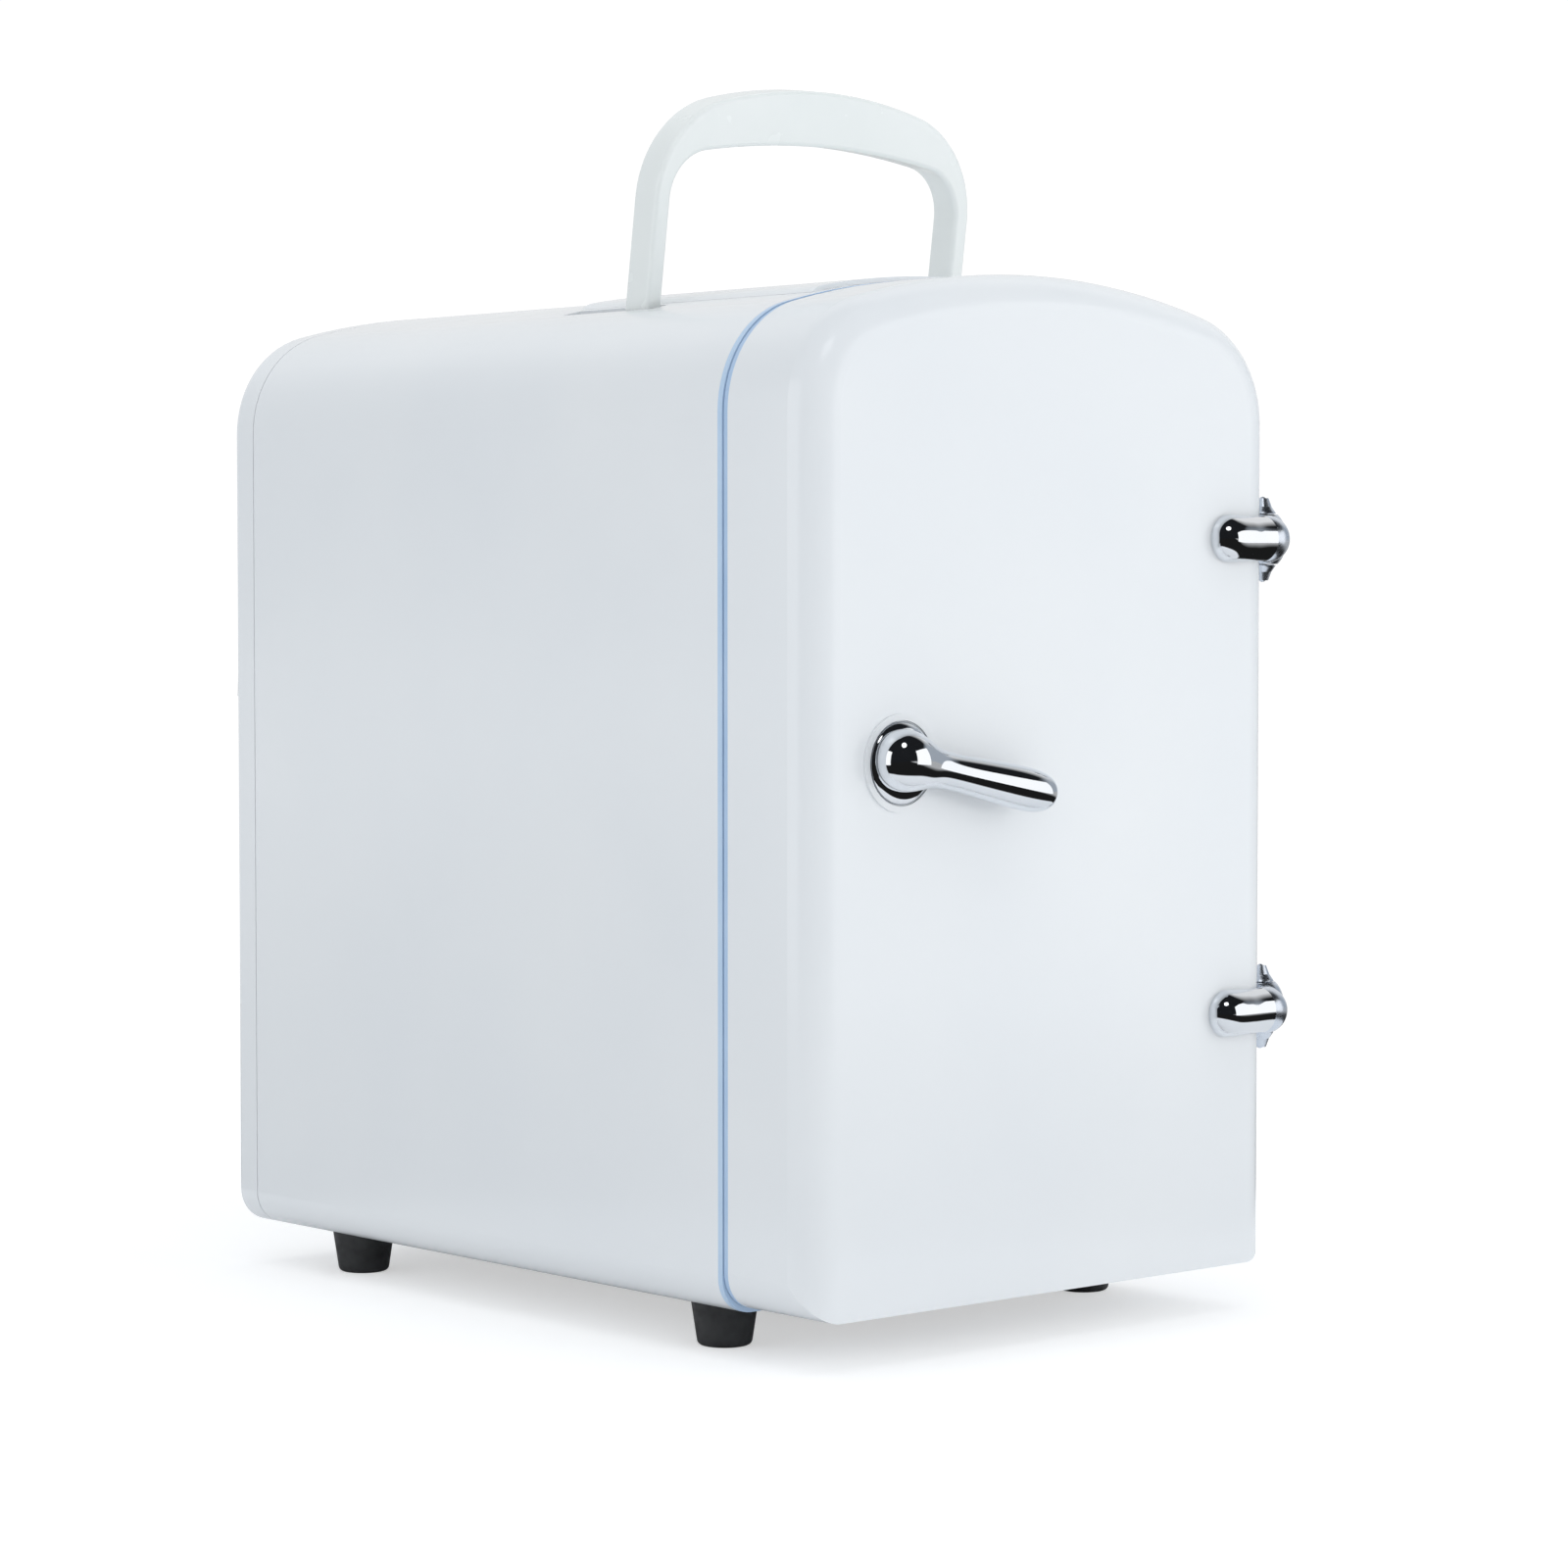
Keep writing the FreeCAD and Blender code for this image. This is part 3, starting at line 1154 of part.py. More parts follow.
def latch():
    node("lever_collar", lever_collar())
    node("lever_rosette", lever_rosette())
    node("latch_lever", latch_lever())
    node("latch_shaft", lever_cylinder("latch_shaft", door_front - 7.0, -7.2, SHAFT_RADIUS))
    bush = lever_cylinder("bush_tube", door_front, LATCH_BACK - 0.2, 6.0)
    flange = lever_cylinder("bush_flange", door_front + d.wall, door_front + d.wall + 2, 9.5)
    bore = lever_cylinder("bush_bore", door_front - 1, 0.0, SHAFT_RADIUS + 0.05)
    node("latch_bush", cut("bush_final", fuse("bush_whole", bush, flange), bore))
    eye = lever_cylinder("tongue_eye", TONGUE_FRONT, TONGUE_BACK, 6.0)
    blade = box("tongue_blade", (d.lever_across - 10.6, TONGUE_FRONT, d.lever_height - 4),
                (d.lever_across, TONGUE_BACK, d.lever_height + 4))
    hole = lever_cylinder("tongue_hole", TONGUE_FRONT - 1, TONGUE_BACK + 1, SHAFT_RADIUS)
    node("latch_tongue", cut("tongue_final", fuse("tongue_whole", eye, blade), hole))
    clip = lever_cylinder("clip_disc", TONGUE_BACK, TONGUE_BACK + 0.8, 5.0)
    clip_hole = lever_cylinder("clip_hole", TONGUE_BACK - 1, TONGUE_BACK + 2, SHAFT_RADIUS)
    mouth = box("clip_mouth", (d.lever_across - 1.6, TONGUE_BACK - 1, d.lever_height - 6),
                (d.lever_across + 1.6, TONGUE_BACK + 2, d.lever_height))
    node("shaft_clip", cut("clip_final", clip, clip_hole, mouth))
    low, high = d.lever_height - 6, d.lever_height + 6
    tab = box("keeper_tab", (-72.5, LATCH_BACK - 1, low), (-70.5, shell_front + 1.5, high))
    base = box("keeper_base", (-83.5, shell_front, low), (-70.5, shell_front + 1.5, high))
    bores = [
        cylinder(f"keeper_thread_{i}", (-79.0, shell_front - 1, d.lever_height + rise), "Y", 1.25, 4.0)
        for i, rise in enumerate((-3.5, 3.5))
    ]
    node("latch_keeper", cut("keeper_final", fuse("keeper_whole", tab, base), *bores))
    heads = []
    for i, rise in enumerate((-3.5, 3.5)):
        at = (-79.0, bezel_face, d.lever_height + rise)
        head = cone(f"keeper_head_{i}", at, "Y", 2.5, 1.25, 1.25)
        shank = cylinder(f"keeper_shank_{i}", at, "Y", 1.25, 3.6)
        heads.append(fuse(f"keeper_screw_{i}", head, shank))
    node("keeper_screws", group("keeper_screws", heads))


# ---------------------------------------------------------------- hinges

EAR_ROOT = 3.4
EAR_TIP = 1.7
EAR_HEIGHT = 4.6
EAR_GAP = 0.45
KNUCKLE_RADIUS = 7.0
LEAF_THICKNESS = 3.0
LEAF_HALF = 10.5
LEAF_BACK = 32.0


def hinge_arm(label, height):
    """The bullet shaped arm on the door's face, wrapped round the corner to the pin."""
    radius = d.hinge_arm_radius
    pin_x, pin_y = d.hinge_axis_across, d.hinge_axis_depth
    face = door_front - 0.2
    bend = (85.6, face)
    nose = sphere(f"arm_nose_{label}", (68.0, face, height), radius)
    run = cylinder(f"arm_run_{label}", (68.0, face, height), "X", radius, 17.6)
    knee = sphere(f"arm_knee_{label}", (bend[0], bend[1], height), radius)
    start = Vector(bend[0], float(bend[1]), float(height))
    end = Vector(float(pin_x), float(pin_y), float(height))
    turn = doc.addObject("Part::Cylinder", f"arm_turn_{label}")
    turn.Radius, turn.Height = float(radius), (end - start).Length
    turn.Placement = Placement(start, Rotation(Vector(0, 0, 1), end - start))
    knuckle = sphere(f"arm_knuckle_{label}", (pin_x, pin_y, height), KNUCKLE_RADIUS)
    whole = fuse(f"arm_whole_{label}", nose, run, knee, turn, knuckle)
    bore = cylinder(
        f"arm_pin_bore_{label}", (pin_x, pin_y, height - 10), "Z", d.hinge_pin_radius + 0.05, 20.0,
    )
    screws = [
        cylinder(f"arm_thread_{label}_{i}", (x, door_front - 5, height), "Y", ARM_SCREW_RADIUS, 6.0)
        for i, x in enumerate(ARM_SCREWS)
    ]
    tools = [doc.getObject("door_outer"), bore, *screws]
    return cut(f"arm_final_{label}", whole, *tools)


def hinge_bracket(label, height):
    """The case side leaf, with a pointed ear above and below the arm's knuckle."""
    pin_x, pin_y = d.hinge_axis_across, d.hinge_axis_depth
    reach = d.hinge_arm_radius + EAR_GAP
    outer = half + LEAF_THICKNESS
    low, high = height - LEAF_HALF, height + LEAF_HALF
    leaf = fuse(
        f"leaf_{label}",
        box(f"leaf_case_{label}", (half, bezel_face, low), (outer, LEAF_BACK, high)),
        box(f"leaf_door_{label}", (half + 0.6, pin_y, low), (outer, bezel_face + 1, high)),
    )
    leaf.Refine = True
    doc.recompute()

    def outer_edge(edge):
        on_face = all(abs(v.Point.x - float(outer)) < 0.01 for v in edge.Vertexes)
        return on_face and edge.CenterOfMass.y > float(pin_y) + 0.1

    eased = rounded(f"leaf_eased_{label}", leaf, 1.6, outer_edge)
    pieces = [
        eased,
        cone(f"ear_up_{label}", (pin_x, pin_y, height + reach), "Z", EAR_ROOT, EAR_TIP, EAR_HEIGHT),
        cone(
            f"ear_down_{label}", (pin_x, pin_y, height - reach - EAR_HEIGHT), "Z", EAR_TIP, EAR_ROOT,
            EAR_HEIGHT,
        ),
    ]
    way = box(
        f"leaf_way_{label}", (half - 5, pin_y - 12, height - reach),
        (half + 12, pin_y + 8.4, height + reach),
    )
    bore = cylinder(f"leaf_pin_{label}", (pin_x, pin_y, height - 11), "Z", d.hinge_pin_radius, 22.0)
    screws = [
        cylinder(f"leaf_hole_{label}_{i}", (half - 1, y, height + rise), "X", LEAF_SCREW_RADIUS, 6.0)
        for i, (y, rise) in enumerate(LEAF_SCREWS)
    ]
    return cut(f"leaf_final_{label}", fuse(f"leaf_whole_{label}", *pieces), way, bore, *screws)


def hinges():
    pin_x, pin_y = d.hinge_axis_across, d.hinge_axis_depth
    for label, height in HINGES.items():
        node(f"hinge_arm_{label}", hinge_arm(label, height))
        node(f"hinge_bracket_{label}", hinge_bracket(label, height))
    node("hinge_pins", group("hinge_pin_group", [
        cylinder(f"hinge_pin_{label}", (pin_x, pin_y, height - 11), "Z", d.hinge_pin_radius, 22.0)
        for label, height in HINGES.items()
    ]))
    node("hinge_leaf_screws", group("leaf_screws", [
        screw(
            f"leaf_screw_{label}_{i}", (half + LEAF_THICKNESS, y, height + rise), "X", -1, 2.6,
            LEAF_SCREW_RADIUS, 9.0, 1.4,
        )
        for label, height in HINGES.items() for i, (y, rise) in enumerate(LEAF_SCREWS)
    ]))
    node("hinge_arm_screws", group("arm_screws", [
        screw(
            f"arm_screw_{label}_{i}", (x, door_front + d.wall, height), "Y", -1, 3.0, ARM_SCREW_RADIUS, 7.0,
        )
        for label, height in HINGES.items() for i, x in enumerate(ARM_SCREWS)
    ]))


# ---------------------------------------------------------------- build

def build():
    node("cabinet_shell", cabinet_shell())
    node("front_bezel", front_bezel())
    node("inner_liner", inner_liner())
    node("cabinet_foam", cabinet_foam())
    node("rear_bulkhead", rear_bulkhead())
    node("rear_cover", rear_cover())
    node("rear_cover_screws", group("cover_screws", [
        screw(f"cover_screw_{i}", (x, d.case_depth, z), "Y", -1, 3.2, COVER_SCREW_RADIUS, 20.0)
        for i, (x, z) in enumerate(COVER_SCREWS)
    ]))
    shelf_level = SHELF_LEVELS[1]
    node("shelf", rounded_box("shelf", (-cavity_half + 0.8, 16.0, shelf_level),
                              (cavity_half - 0.8, d.cavity_depth - 6, shelf_level + 3), 5.0, "Z"))
    cooling_pack()
    node("power_board", power_board())
    node("board_components", board_components())
    node("board_posts", board_posts())
    node("board_screws", group("board_screws_group", [
        screw(f"board_screw_{i}", (x, y, BOARD_LEVEL + BOARD_THICKNESS), "Z", -1, 2.4, 1.2, 5.5, 1.4)
        for i, (x, y) in enumerate(BOARD_HOLES)
    ]))
    node("switch_housing", switch_housing())
    node("mode_rocker", mode_rocker())
    node("ac_inlet", ac_inlet())
    node("dc_inlet", dc_inlet())
    module_leads, fan_lead = leads()
    node("module_leads", module_leads)
    node("fan_lead", fan_lead)
    for label, (x, y) in FEET.items():
        node(label, foot(label, x, y))
    node("foot_screws", group("foot_screw_group", [
        screw(f"{label}_screw", (x, y, 6.0), "Z", 1, 3.8, FOOT_SCREW_RADIUS, 13.0, 2.2)
        for label, (x, y) in FEET.items()
    ]))
    node("handle", handle())
    node("handle_cups", group("handle_cup_group", [handle_cup(k, s) for k, s in HANDLE_SIDES.items()]))
    node("handle_pins", group("handle_pin_group", [
        cylinder(f"handle_pin_{label}", (side * leg_middle - slot_half - 1.9, d.handle_depth, d.handle_pivot), "X",
                 HANDLE_PIN_RADIUS, 2 * slot_half + 3.8)
        for label, side in HANDLE_SIDES.items()
    ]))
    node("handle_saddle", handle_saddle())
    node("door_shell", door_shell())
    node("door_foam", door_foam())
    node("door_liner", door_liner())
    node("door_gasket", door_gasket())
    node("door_bin", door_bin())
    latch()
    hinges()


# Puts the origin under the middle of the closed fridge, with its hinges and lever.
ORIGIN_SHIFT = Vector(-5.4, -94.6, 0)


def turn_about(piece, centre, axis, angle):
    """Turns a finished piece about an axis through a point."""
    turn = Rotation(axis, angle)
    piece.Placement = Placement(centre - turn.multVec(centre), turn).multiply(piece.Placement)


def pose():
    """Leans the handle and lever to rest, then moves every piece to the part's own origin."""
    pivot = Vector(0, float(d.handle_depth), float(d.handle_pivot))
    turn_about(nodes["handle"], pivot, Vector(1, 0, 0), float(d.handle_tilt))
    lever_axis = Vector(float(d.lever_across), 0, float(d.lever_height))
    turn_about(nodes["latch_lever"], lever_axis, Vector(0, 1, 0), float(d.lever_slope))


def check():
    faults = [o.Name for o in doc.Objects if {"Invalid", "Error"} & set(o.State)]
    for name, piece in nodes.items():
        if piece.Shape.isNull() or not piece.Shape.isValid() or not piece.Shape.Solids:
            faults.append(name)
    if faults:
        raise RuntimeError(f"failed: {faults}")


build()
doc.recompute()
pose()
check()
os.makedirs("parts", exist_ok=True)
for name, piece in nodes.items():
    shape = piece.Shape.copy()
    shape.translate(ORIGIN_SHIFT)
    shape.exportStep(f"parts/{name}.step")
    print(f"{name:22s} {len(shape.Solids):3d} solids {shape.Volume / 1000:9.2f} cm3")
print(len(nodes), "nodes")
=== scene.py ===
import json
import math

import bmesh
import bpy
from mathutils import Matrix, Vector


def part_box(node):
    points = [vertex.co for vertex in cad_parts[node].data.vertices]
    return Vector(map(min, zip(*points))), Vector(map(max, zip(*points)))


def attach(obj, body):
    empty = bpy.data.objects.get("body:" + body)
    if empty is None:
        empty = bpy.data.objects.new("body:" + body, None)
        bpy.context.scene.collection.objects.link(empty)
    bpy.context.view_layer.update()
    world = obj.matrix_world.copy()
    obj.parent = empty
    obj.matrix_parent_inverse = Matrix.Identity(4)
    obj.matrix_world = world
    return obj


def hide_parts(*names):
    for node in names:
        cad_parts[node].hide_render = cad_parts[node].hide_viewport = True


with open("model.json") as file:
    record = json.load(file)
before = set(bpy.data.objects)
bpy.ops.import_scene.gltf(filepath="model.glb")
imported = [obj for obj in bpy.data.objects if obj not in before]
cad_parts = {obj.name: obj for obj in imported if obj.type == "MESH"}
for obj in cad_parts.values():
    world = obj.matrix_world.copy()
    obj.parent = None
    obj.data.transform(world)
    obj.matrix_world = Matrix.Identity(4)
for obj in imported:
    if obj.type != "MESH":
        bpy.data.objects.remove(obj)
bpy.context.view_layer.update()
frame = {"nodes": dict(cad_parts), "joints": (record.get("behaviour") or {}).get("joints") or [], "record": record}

nodes = frame["nodes"]
MM = 0.001
SMALLEST_RING = 0.02  # mm; a narrower ring of a turned piece becomes a point


# ---------------------------------------------------------------- places

def middle(node):
    low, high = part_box(node)
    return (low + high) / 2


def joint(name):
    return next(j for j in frame["joints"] if j["name"] == name)


door_low, door_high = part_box("door_shell")
lever_axis = Vector(joint("lever_turn")["pos_m"])
door_face = door_low.y
across = Vector((1, 0, 0))
up = Vector((0, 0, 1))


# ---------------------------------------------------------------- materials

class Finish:
    """A node material whose colour, roughness and bump all vary a little over the surface."""

    def __init__(self, name, roughness, metallic=0.0, **sockets):
        self.material = bpy.data.materials.new(name)
        self.material.use_nodes = True
        self.tree = self.material.node_tree
        self.shader = self.tree.nodes["Principled BSDF"]
        self.shader.inputs["Roughness"].default_value = roughness
        self.shader.inputs["Metallic"].default_value = metallic
        for socket, value in sockets.items():
            self.shader.inputs[socket.replace("_", " ")].default_value = value
        self.place = self.add("ShaderNodeTexCoord").outputs["Object"]

    def add(self, kind, **values):
        node = self.tree.nodes.new(kind)
        for name, value in values.items():
            setattr(node, name, value)
        return node

    def link(self, output, socket):
        self.tree.links.new(output, socket)

    def noise(self, size, detail=3.0, stretch=(1, 1, 1)):
        """Noise whose features are about `size` metres wide."""
        mapping = self.add("ShaderNodeMapping")
        mapping.inputs["Scale"].default_value = stretch
        self.link(self.place, mapping.inputs["Vector"])
        noise = self.add("ShaderNodeTexNoise")
        noise.inputs["Scale"].default_value = 1.0 / size
        noise.inputs["Detail"].default_value = detail
        self.link(mapping.outputs["Vector"], noise.inputs["Vector"])
        return noise.outputs["Fac"]

    def ramp(self, fac, first, last, start=0.3, end=0.7):
        ramp = self.add("ShaderNodeValToRGB")
        ramp.color_ramp.elements[0].position = start
        ramp.color_ramp.elements[1].position = end
        ramp.color_ramp.elements[0].color = (*first, 1)
        ramp.color_ramp.elements[1].color = (*last, 1)
        self.link(fac, ramp.inputs["Fac"])
        return ramp.outputs["Color"]

    def colour(self, fac, first, last, start=0.3, end=0.7):
        self.link(self.ramp(fac, first, last, start, end), self.shader.inputs["Base Color"])
        return self

    def rough(self, fac, first, last):
        spread = self.add("ShaderNodeMapRange")
        spread.inputs["From Min"].default_value = 0.3
        spread.inputs["From Max"].default_value = 0.7
        spread.inputs["To Min"].default_value = first
        spread.inputs["To Max"].default_value = last
        self.link(fac, spread.inputs["Value"])
        self.link(spread.outputs["Result"], self.shader.inputs["Roughness"])
        return self

    def bump(self, fac, depth, strength=1.0):
        """Relief `depth` metres deep."""
        bump = self.add("ShaderNodeBump")
        bump.inputs["Strength"].default_value = strength
        bump.inputs["Distance"].default_value = depth
        self.link(fac, bump.inputs["Height"])
        self.link(bump.outputs["Normal"], self.shader.inputs["Normal"])
        return self


def gloss_white():
    """Polished white ABS: faint flow marks, very slight orange peel."""
    f = Finish("case_white", 0.18, IOR=1.45, Coat_Weight=0.08, Coat_Roughness=0.08)
    f.colour(f.noise(0.09, 2), (0.855, 0.875, 0.895), (0.885, 0.900, 0.912))
    f.rough(f.noise(0.03, 4), 0.15, 0.21)
    return f.bump(f.noise(0.006, 2), 0.00002, 0.25).material


def handle_white():
    """The carrying handle's warmer white."""
    f = Finish("handle_white", 0.24, IOR=1.5)
    f.colour(f.noise(0.03, 2), (0.880, 0.910, 0.892), (0.905, 0.928, 0.912))
    f.rough(f.noise(0.01, 4), 0.22, 0.28)
    return f.bump(f.noise(0.0012, 3), 0.00001, 0.1).material


def liner_white():
    f = Finish("liner_white", 0.35, IOR=1.5)
    f.colour(f.noise(0.05, 2), (0.80, 0.82, 0.83), (0.85, 0.865, 0.87))
    f.rough(f.noise(0.012, 4), 0.28, 0.42)
    return f.bump(f.noise(0.0016, 3), 0.00003, 0.4).material


def seam_blue():
    f = Finish("seam_blue", 0.38, IOR=1.48)
    f.colour(f.noise(0.02, 3), (0.50, 0.66, 0.86), (0.56, 0.71, 0.89))
    f.rough(f.noise(0.008, 4), 0.30, 0.45)
    return f.bump(f.noise(0.001, 3), 0.00002, 0.4).material


def gasket_rubber():
    f = Finish("gasket", 0.55, IOR=1.45)
    f.colour(f.noise(0.02, 3), (0.42, 0.58, 0.80), (0.50, 0.65, 0.85))
    f.rough(f.noise(0.005, 4), 0.45, 0.65)
    return f.bump(f.noise(0.0012, 3), 0.00004, 0.5).material


def foam():
    f = Finish("foam", 0.85)
    f.colour(f.noise(0.004, 6), (0.72, 0.64, 0.42), (0.84, 0.78, 0.58))
    return f.bump(f.noise(0.0016, 6), 0.0004, 0.9).material


def clear_plastic():
    f = Finish("clear_shelf", 0.12, IOR=1.49, Alpha=0.55)
    f.colour(f.noise(0.04, 2), (0.76, 0.82, 0.86), (0.82, 0.87, 0.90))
    f.rough(f.noise(0.01, 4), 0.08, 0.20)
    return f.bump(f.noise(0.002, 3), 0.00003, 0.3).material


def aluminium():
    """Extruded metal with fine draw lines."""
    f = Finish("sink", 0.36, metallic=1.0)
    f.colour(f.noise(0.012, 4), (0.62, 0.63, 0.65), (0.76, 0.77, 0.78))
    f.rough(f.noise(0.0008, 4, (1, 1, 0.05)), 0.26, 0.46)
    return f.bump(f.noise(0.0006, 3, (1, 1, 0.05)), 0.00002, 0.5).material


def ceramic():
    f = Finish("ceramic", 0.5)
    f.colour(f.noise(0.006, 4), (0.84, 0.83, 0.79), (0.90, 0.89, 0.86))
    return f.bump(f.noise(0.0006, 4), 0.00002, 0.5).material


def black_plastic():
    """Matte moulded black with a fine spark texture."""
    f = Finish("fan_black", 0.5, IOR=1.48)
    f.colour(f.noise(0.01, 4), (0.018, 0.019, 0.021), (0.034, 0.035, 0.038))
    f.rough(f.noise(0.004, 4), 0.40, 0.60)
    return f.bump(f.noise(0.0006, 3), 0.00004, 0.6).material


def circuit_board():
    f = Finish("board", 0.4, IOR=1.5)
    f.colour(f.noise(0.006, 1), (0.010, 0.10, 0.035), (0.022, 0.17, 0.06), 0.46, 0.54)
    f.rough(f.noise(0.004, 3), 0.3, 0.5)
    return f.bump(f.noise(0.003, 1), 0.00003, 0.5).material


def electronic():
    f = Finish("electronic", 0.4)
    f.colour(f.noise(0.008, 3), (0.02, 0.02, 0.025), (0.07, 0.07, 0.08))
    return f.bump(f.noise(0.001, 3), 0.00003, 0.5).material


def wire():
    f = Finish("lead", 0.45)
    f.colour(f.noise(0.01, 2), (0.30, 0.012, 0.012), (0.42, 0.02, 0.02))
    return f.bump(f.noise(0.002, 2), 0.00003, 0.4).material


def black_rubber():
    """Moulded rubber: dull, a little dusty."""
    f = Finish("rubber", 0.6, IOR=1.5)
    f.colour(f.noise(0.008, 5), (0.012, 0.012, 0.013), (0.030, 0.030, 0.032))
    f.rough(f.noise(0.003, 4), 0.45, 0.70)
    return f.bump(f.noise(0.0007, 4), 0.00005, 0.6).material


def chrome():
    """Bright plating with a trace of haze."""
    f = Finish("chrome", 0.05, metallic=1.0)
    f.colour(f.noise(0.02, 2), (0.80, 0.83, 0.87), (0.86, 0.88, 0.91))
    f.rough(f.noise(0.006, 4), 0.03, 0.075)
    return f.bump(f.noise(0.004, 2), 0.000004, 0.2).material


def satin_chrome():
    """Plating with a softer sheen, on the side of the hinges."""
    f = Finish("satin_chrome", 0.26, metallic=1.0)
    f.colour(f.noise(0.02, 2), (0.70, 0.76, 0.85), (0.77, 0.82, 0.90))
    f.rough(f.noise(0.006, 4), 0.22, 0.30)
    return f.bump(f.noise(0.004, 2), 0.000004, 0.2).material


def steel():
    f = Finish("steel", 0.35, metallic=1.0)
    f.colour(f.noise(0.004, 4), (0.50, 0.50, 0.50), (0.64, 0.64, 0.63))
    f.rough(f.noise(0.001, 4), 0.25, 0.45)
    return f.bump(f.noise(0.0005, 3), 0.00002, 0.5).material


MATERIALS = {
    "case_white": gloss_white(),
    "liner_white": liner_white(),
    "seam_blue": seam_blue(),
    "gasket": gasket_rubber(),
    "foam": foam(),
    "clear_shelf": clear_plastic(),
    "sink": aluminium(),
    "ceramic": ceramic(),
    "fan_black": black_plastic(),
    "board": circuit_board(),
    "electronic": electronic(),
    "lead": wire(),
    "rubber": black_rubber(),
    "chrome": chrome(),
    "satin_chrome": satin_chrome(),
    "steel": steel(),
    "handle_white": handle_white(),
}


def paint(obj, material):
    obj.data.materials.clear()
    obj.data.materials.append(MATERIALS[material])


for part in frame["record"]["subparts"]:
    paint(nodes[part["node"]], part["material_slot"])
paint(nodes["handle"], "handle_white")
for bracket in ("hinge_bracket_lower", "hinge_bracket_upper"):
    paint(nodes[bracket], "satin_chrome")


# ---------------------------------------------------------------- mesh helpers

def mesh_object(name, bm):
    mesh = bpy.data.meshes.new(name)
    bm.to_mesh(mesh)
    bm.free()
    obj = bpy.data.objects.new(name, mesh)
    bpy.context.scene.collection.objects.link(obj)
    return obj


def shade_smooth(obj):
    for face in obj.data.polygons:
        face.use_smooth = True


def finish_mesh(name, bm, material):
    bmesh.ops.recalc_face_normals(bm, faces=bm.faces)
    obj = mesh_object(name, bm)
    shade_smooth(obj)
    obj.data.materials.append(MATERIALS[material])
    return obj


def subdivide(obj, levels):
    """Turns a cage into its smooth subdivided mesh."""
    modifier = obj.modifiers.new("subdivision", "SUBSURF")
    modifier.levels = modifier.render_levels = levels
    graph = bpy.context.evaluated_depsgraph_get()
    mesh = bpy.data.meshes.new_from_object(obj.evaluated_get(graph))
    obj.modifiers.clear()
    obj.data = mesh
    shade_smooth(obj)


def keep(obj, body, slot, *replaced):
    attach(obj, body)
    if replaced:
        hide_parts(*replaced)


def curve_through(points, steps=6):
    """A smooth line through (radius, along) points."""
    line = []
    ends = [points[0], *points, points[-1]]
    for i in range(len(points) - 1):
        a, b, c, e = (Vector(p) for p in ends[i:i + 4])
        for k in range(steps):
            t = k / steps
            line.append(0.5 * (2 * b + (c - a) * t + (2 * a - 5 * b + 4 * c - e) * t * t
                               + (3 * b - a - 3 * c + e) * t ** 3))
    return [*line, Vector(points[-1])]


def turned(name, points, origin, axis, material, around=64):
    """A turned piece: a smooth profile of (radius, along) points in mm, spun about an axis."""
    side = axis.orthogonal().normalized()
    other = axis.cross(side)
    angles = [2 * math.pi * i / around for i in range(around)]
    bm = bmesh.new()
    rings = []
    for radius, along in curve_through(points):
        centre = origin + axis * along * MM
        if radius < SMALLEST_RING:
            rings.append([bm.verts.new(centre)])
            continue
        ways = [side * math.cos(a) + other * math.sin(a) for a in angles]
        rings.append([bm.verts.new(centre + way * radius * MM) for way in ways])
    for ring, following in zip(rings, rings[1:]):
        if len(ring) == len(following) == 1:
            continue
        for i in range(around):
            j = (i + 1) % around
            corners = [
                ring[i % len(ring)], ring[j % len(ring)],
                following[j % len(following)], following[i % len(following)],
            ]
            bm.faces.new(list(dict.fromkeys(corners)))
    for ring in (rings[0], rings[-1]):
        if len(ring) > 2:
            bm.faces.new(ring)
    return finish_mesh(name, bm, material)


def united(name, pieces, material):
    """One mesh of pieces that overlap and share a finish."""
    bm = bmesh.new()
    for piece in pieces:
        bm.from_mesh(piece.data)
        bpy.data.objects.remove(piece)
    return finish_mesh(name, bm, material)


def both_ends(half):
    """The profile of a piece that is alike at both ends, from its first half."""
    return half + [(radius, -along) for radius, along in reversed(half[:-1])]


# ---------------------------------------------------------------- hinges

HINGE_SET_IN = 3.4 * MM  # from the door's side in to the middle of the arm's bend
HINGE_PROUD = 0.2 * MM  # the bullet's middle line stands this far in front of the door
BULLET_LENGTH = 16.2 * MM
ARM_RADIUS = 6.8  # where the arm bends, in mm like the profiles below
ROUND_END = [(0, -6.8), (2.7, -6.25), (4.8, -4.8), (6.3, -2.6), (ARM_RADIUS, 0)]
BULLET = [*ROUND_END, (6.7, 5), (6.5, 10), (6.6, 16.6)]
KNUCKLE_HALF = [(0.4, -7.15), (4.0, -7.15), (4.6, -6.9), (5.7, -5.4), (6.6, -3.0), (7.0, 0)]
BELL = [(3.9, 7.45), (3.6, 8.0), (2.9, 9.0), (2.1, 10.2), (1.3, 11.4), (0.6, 12.2), (0, 12.4)]


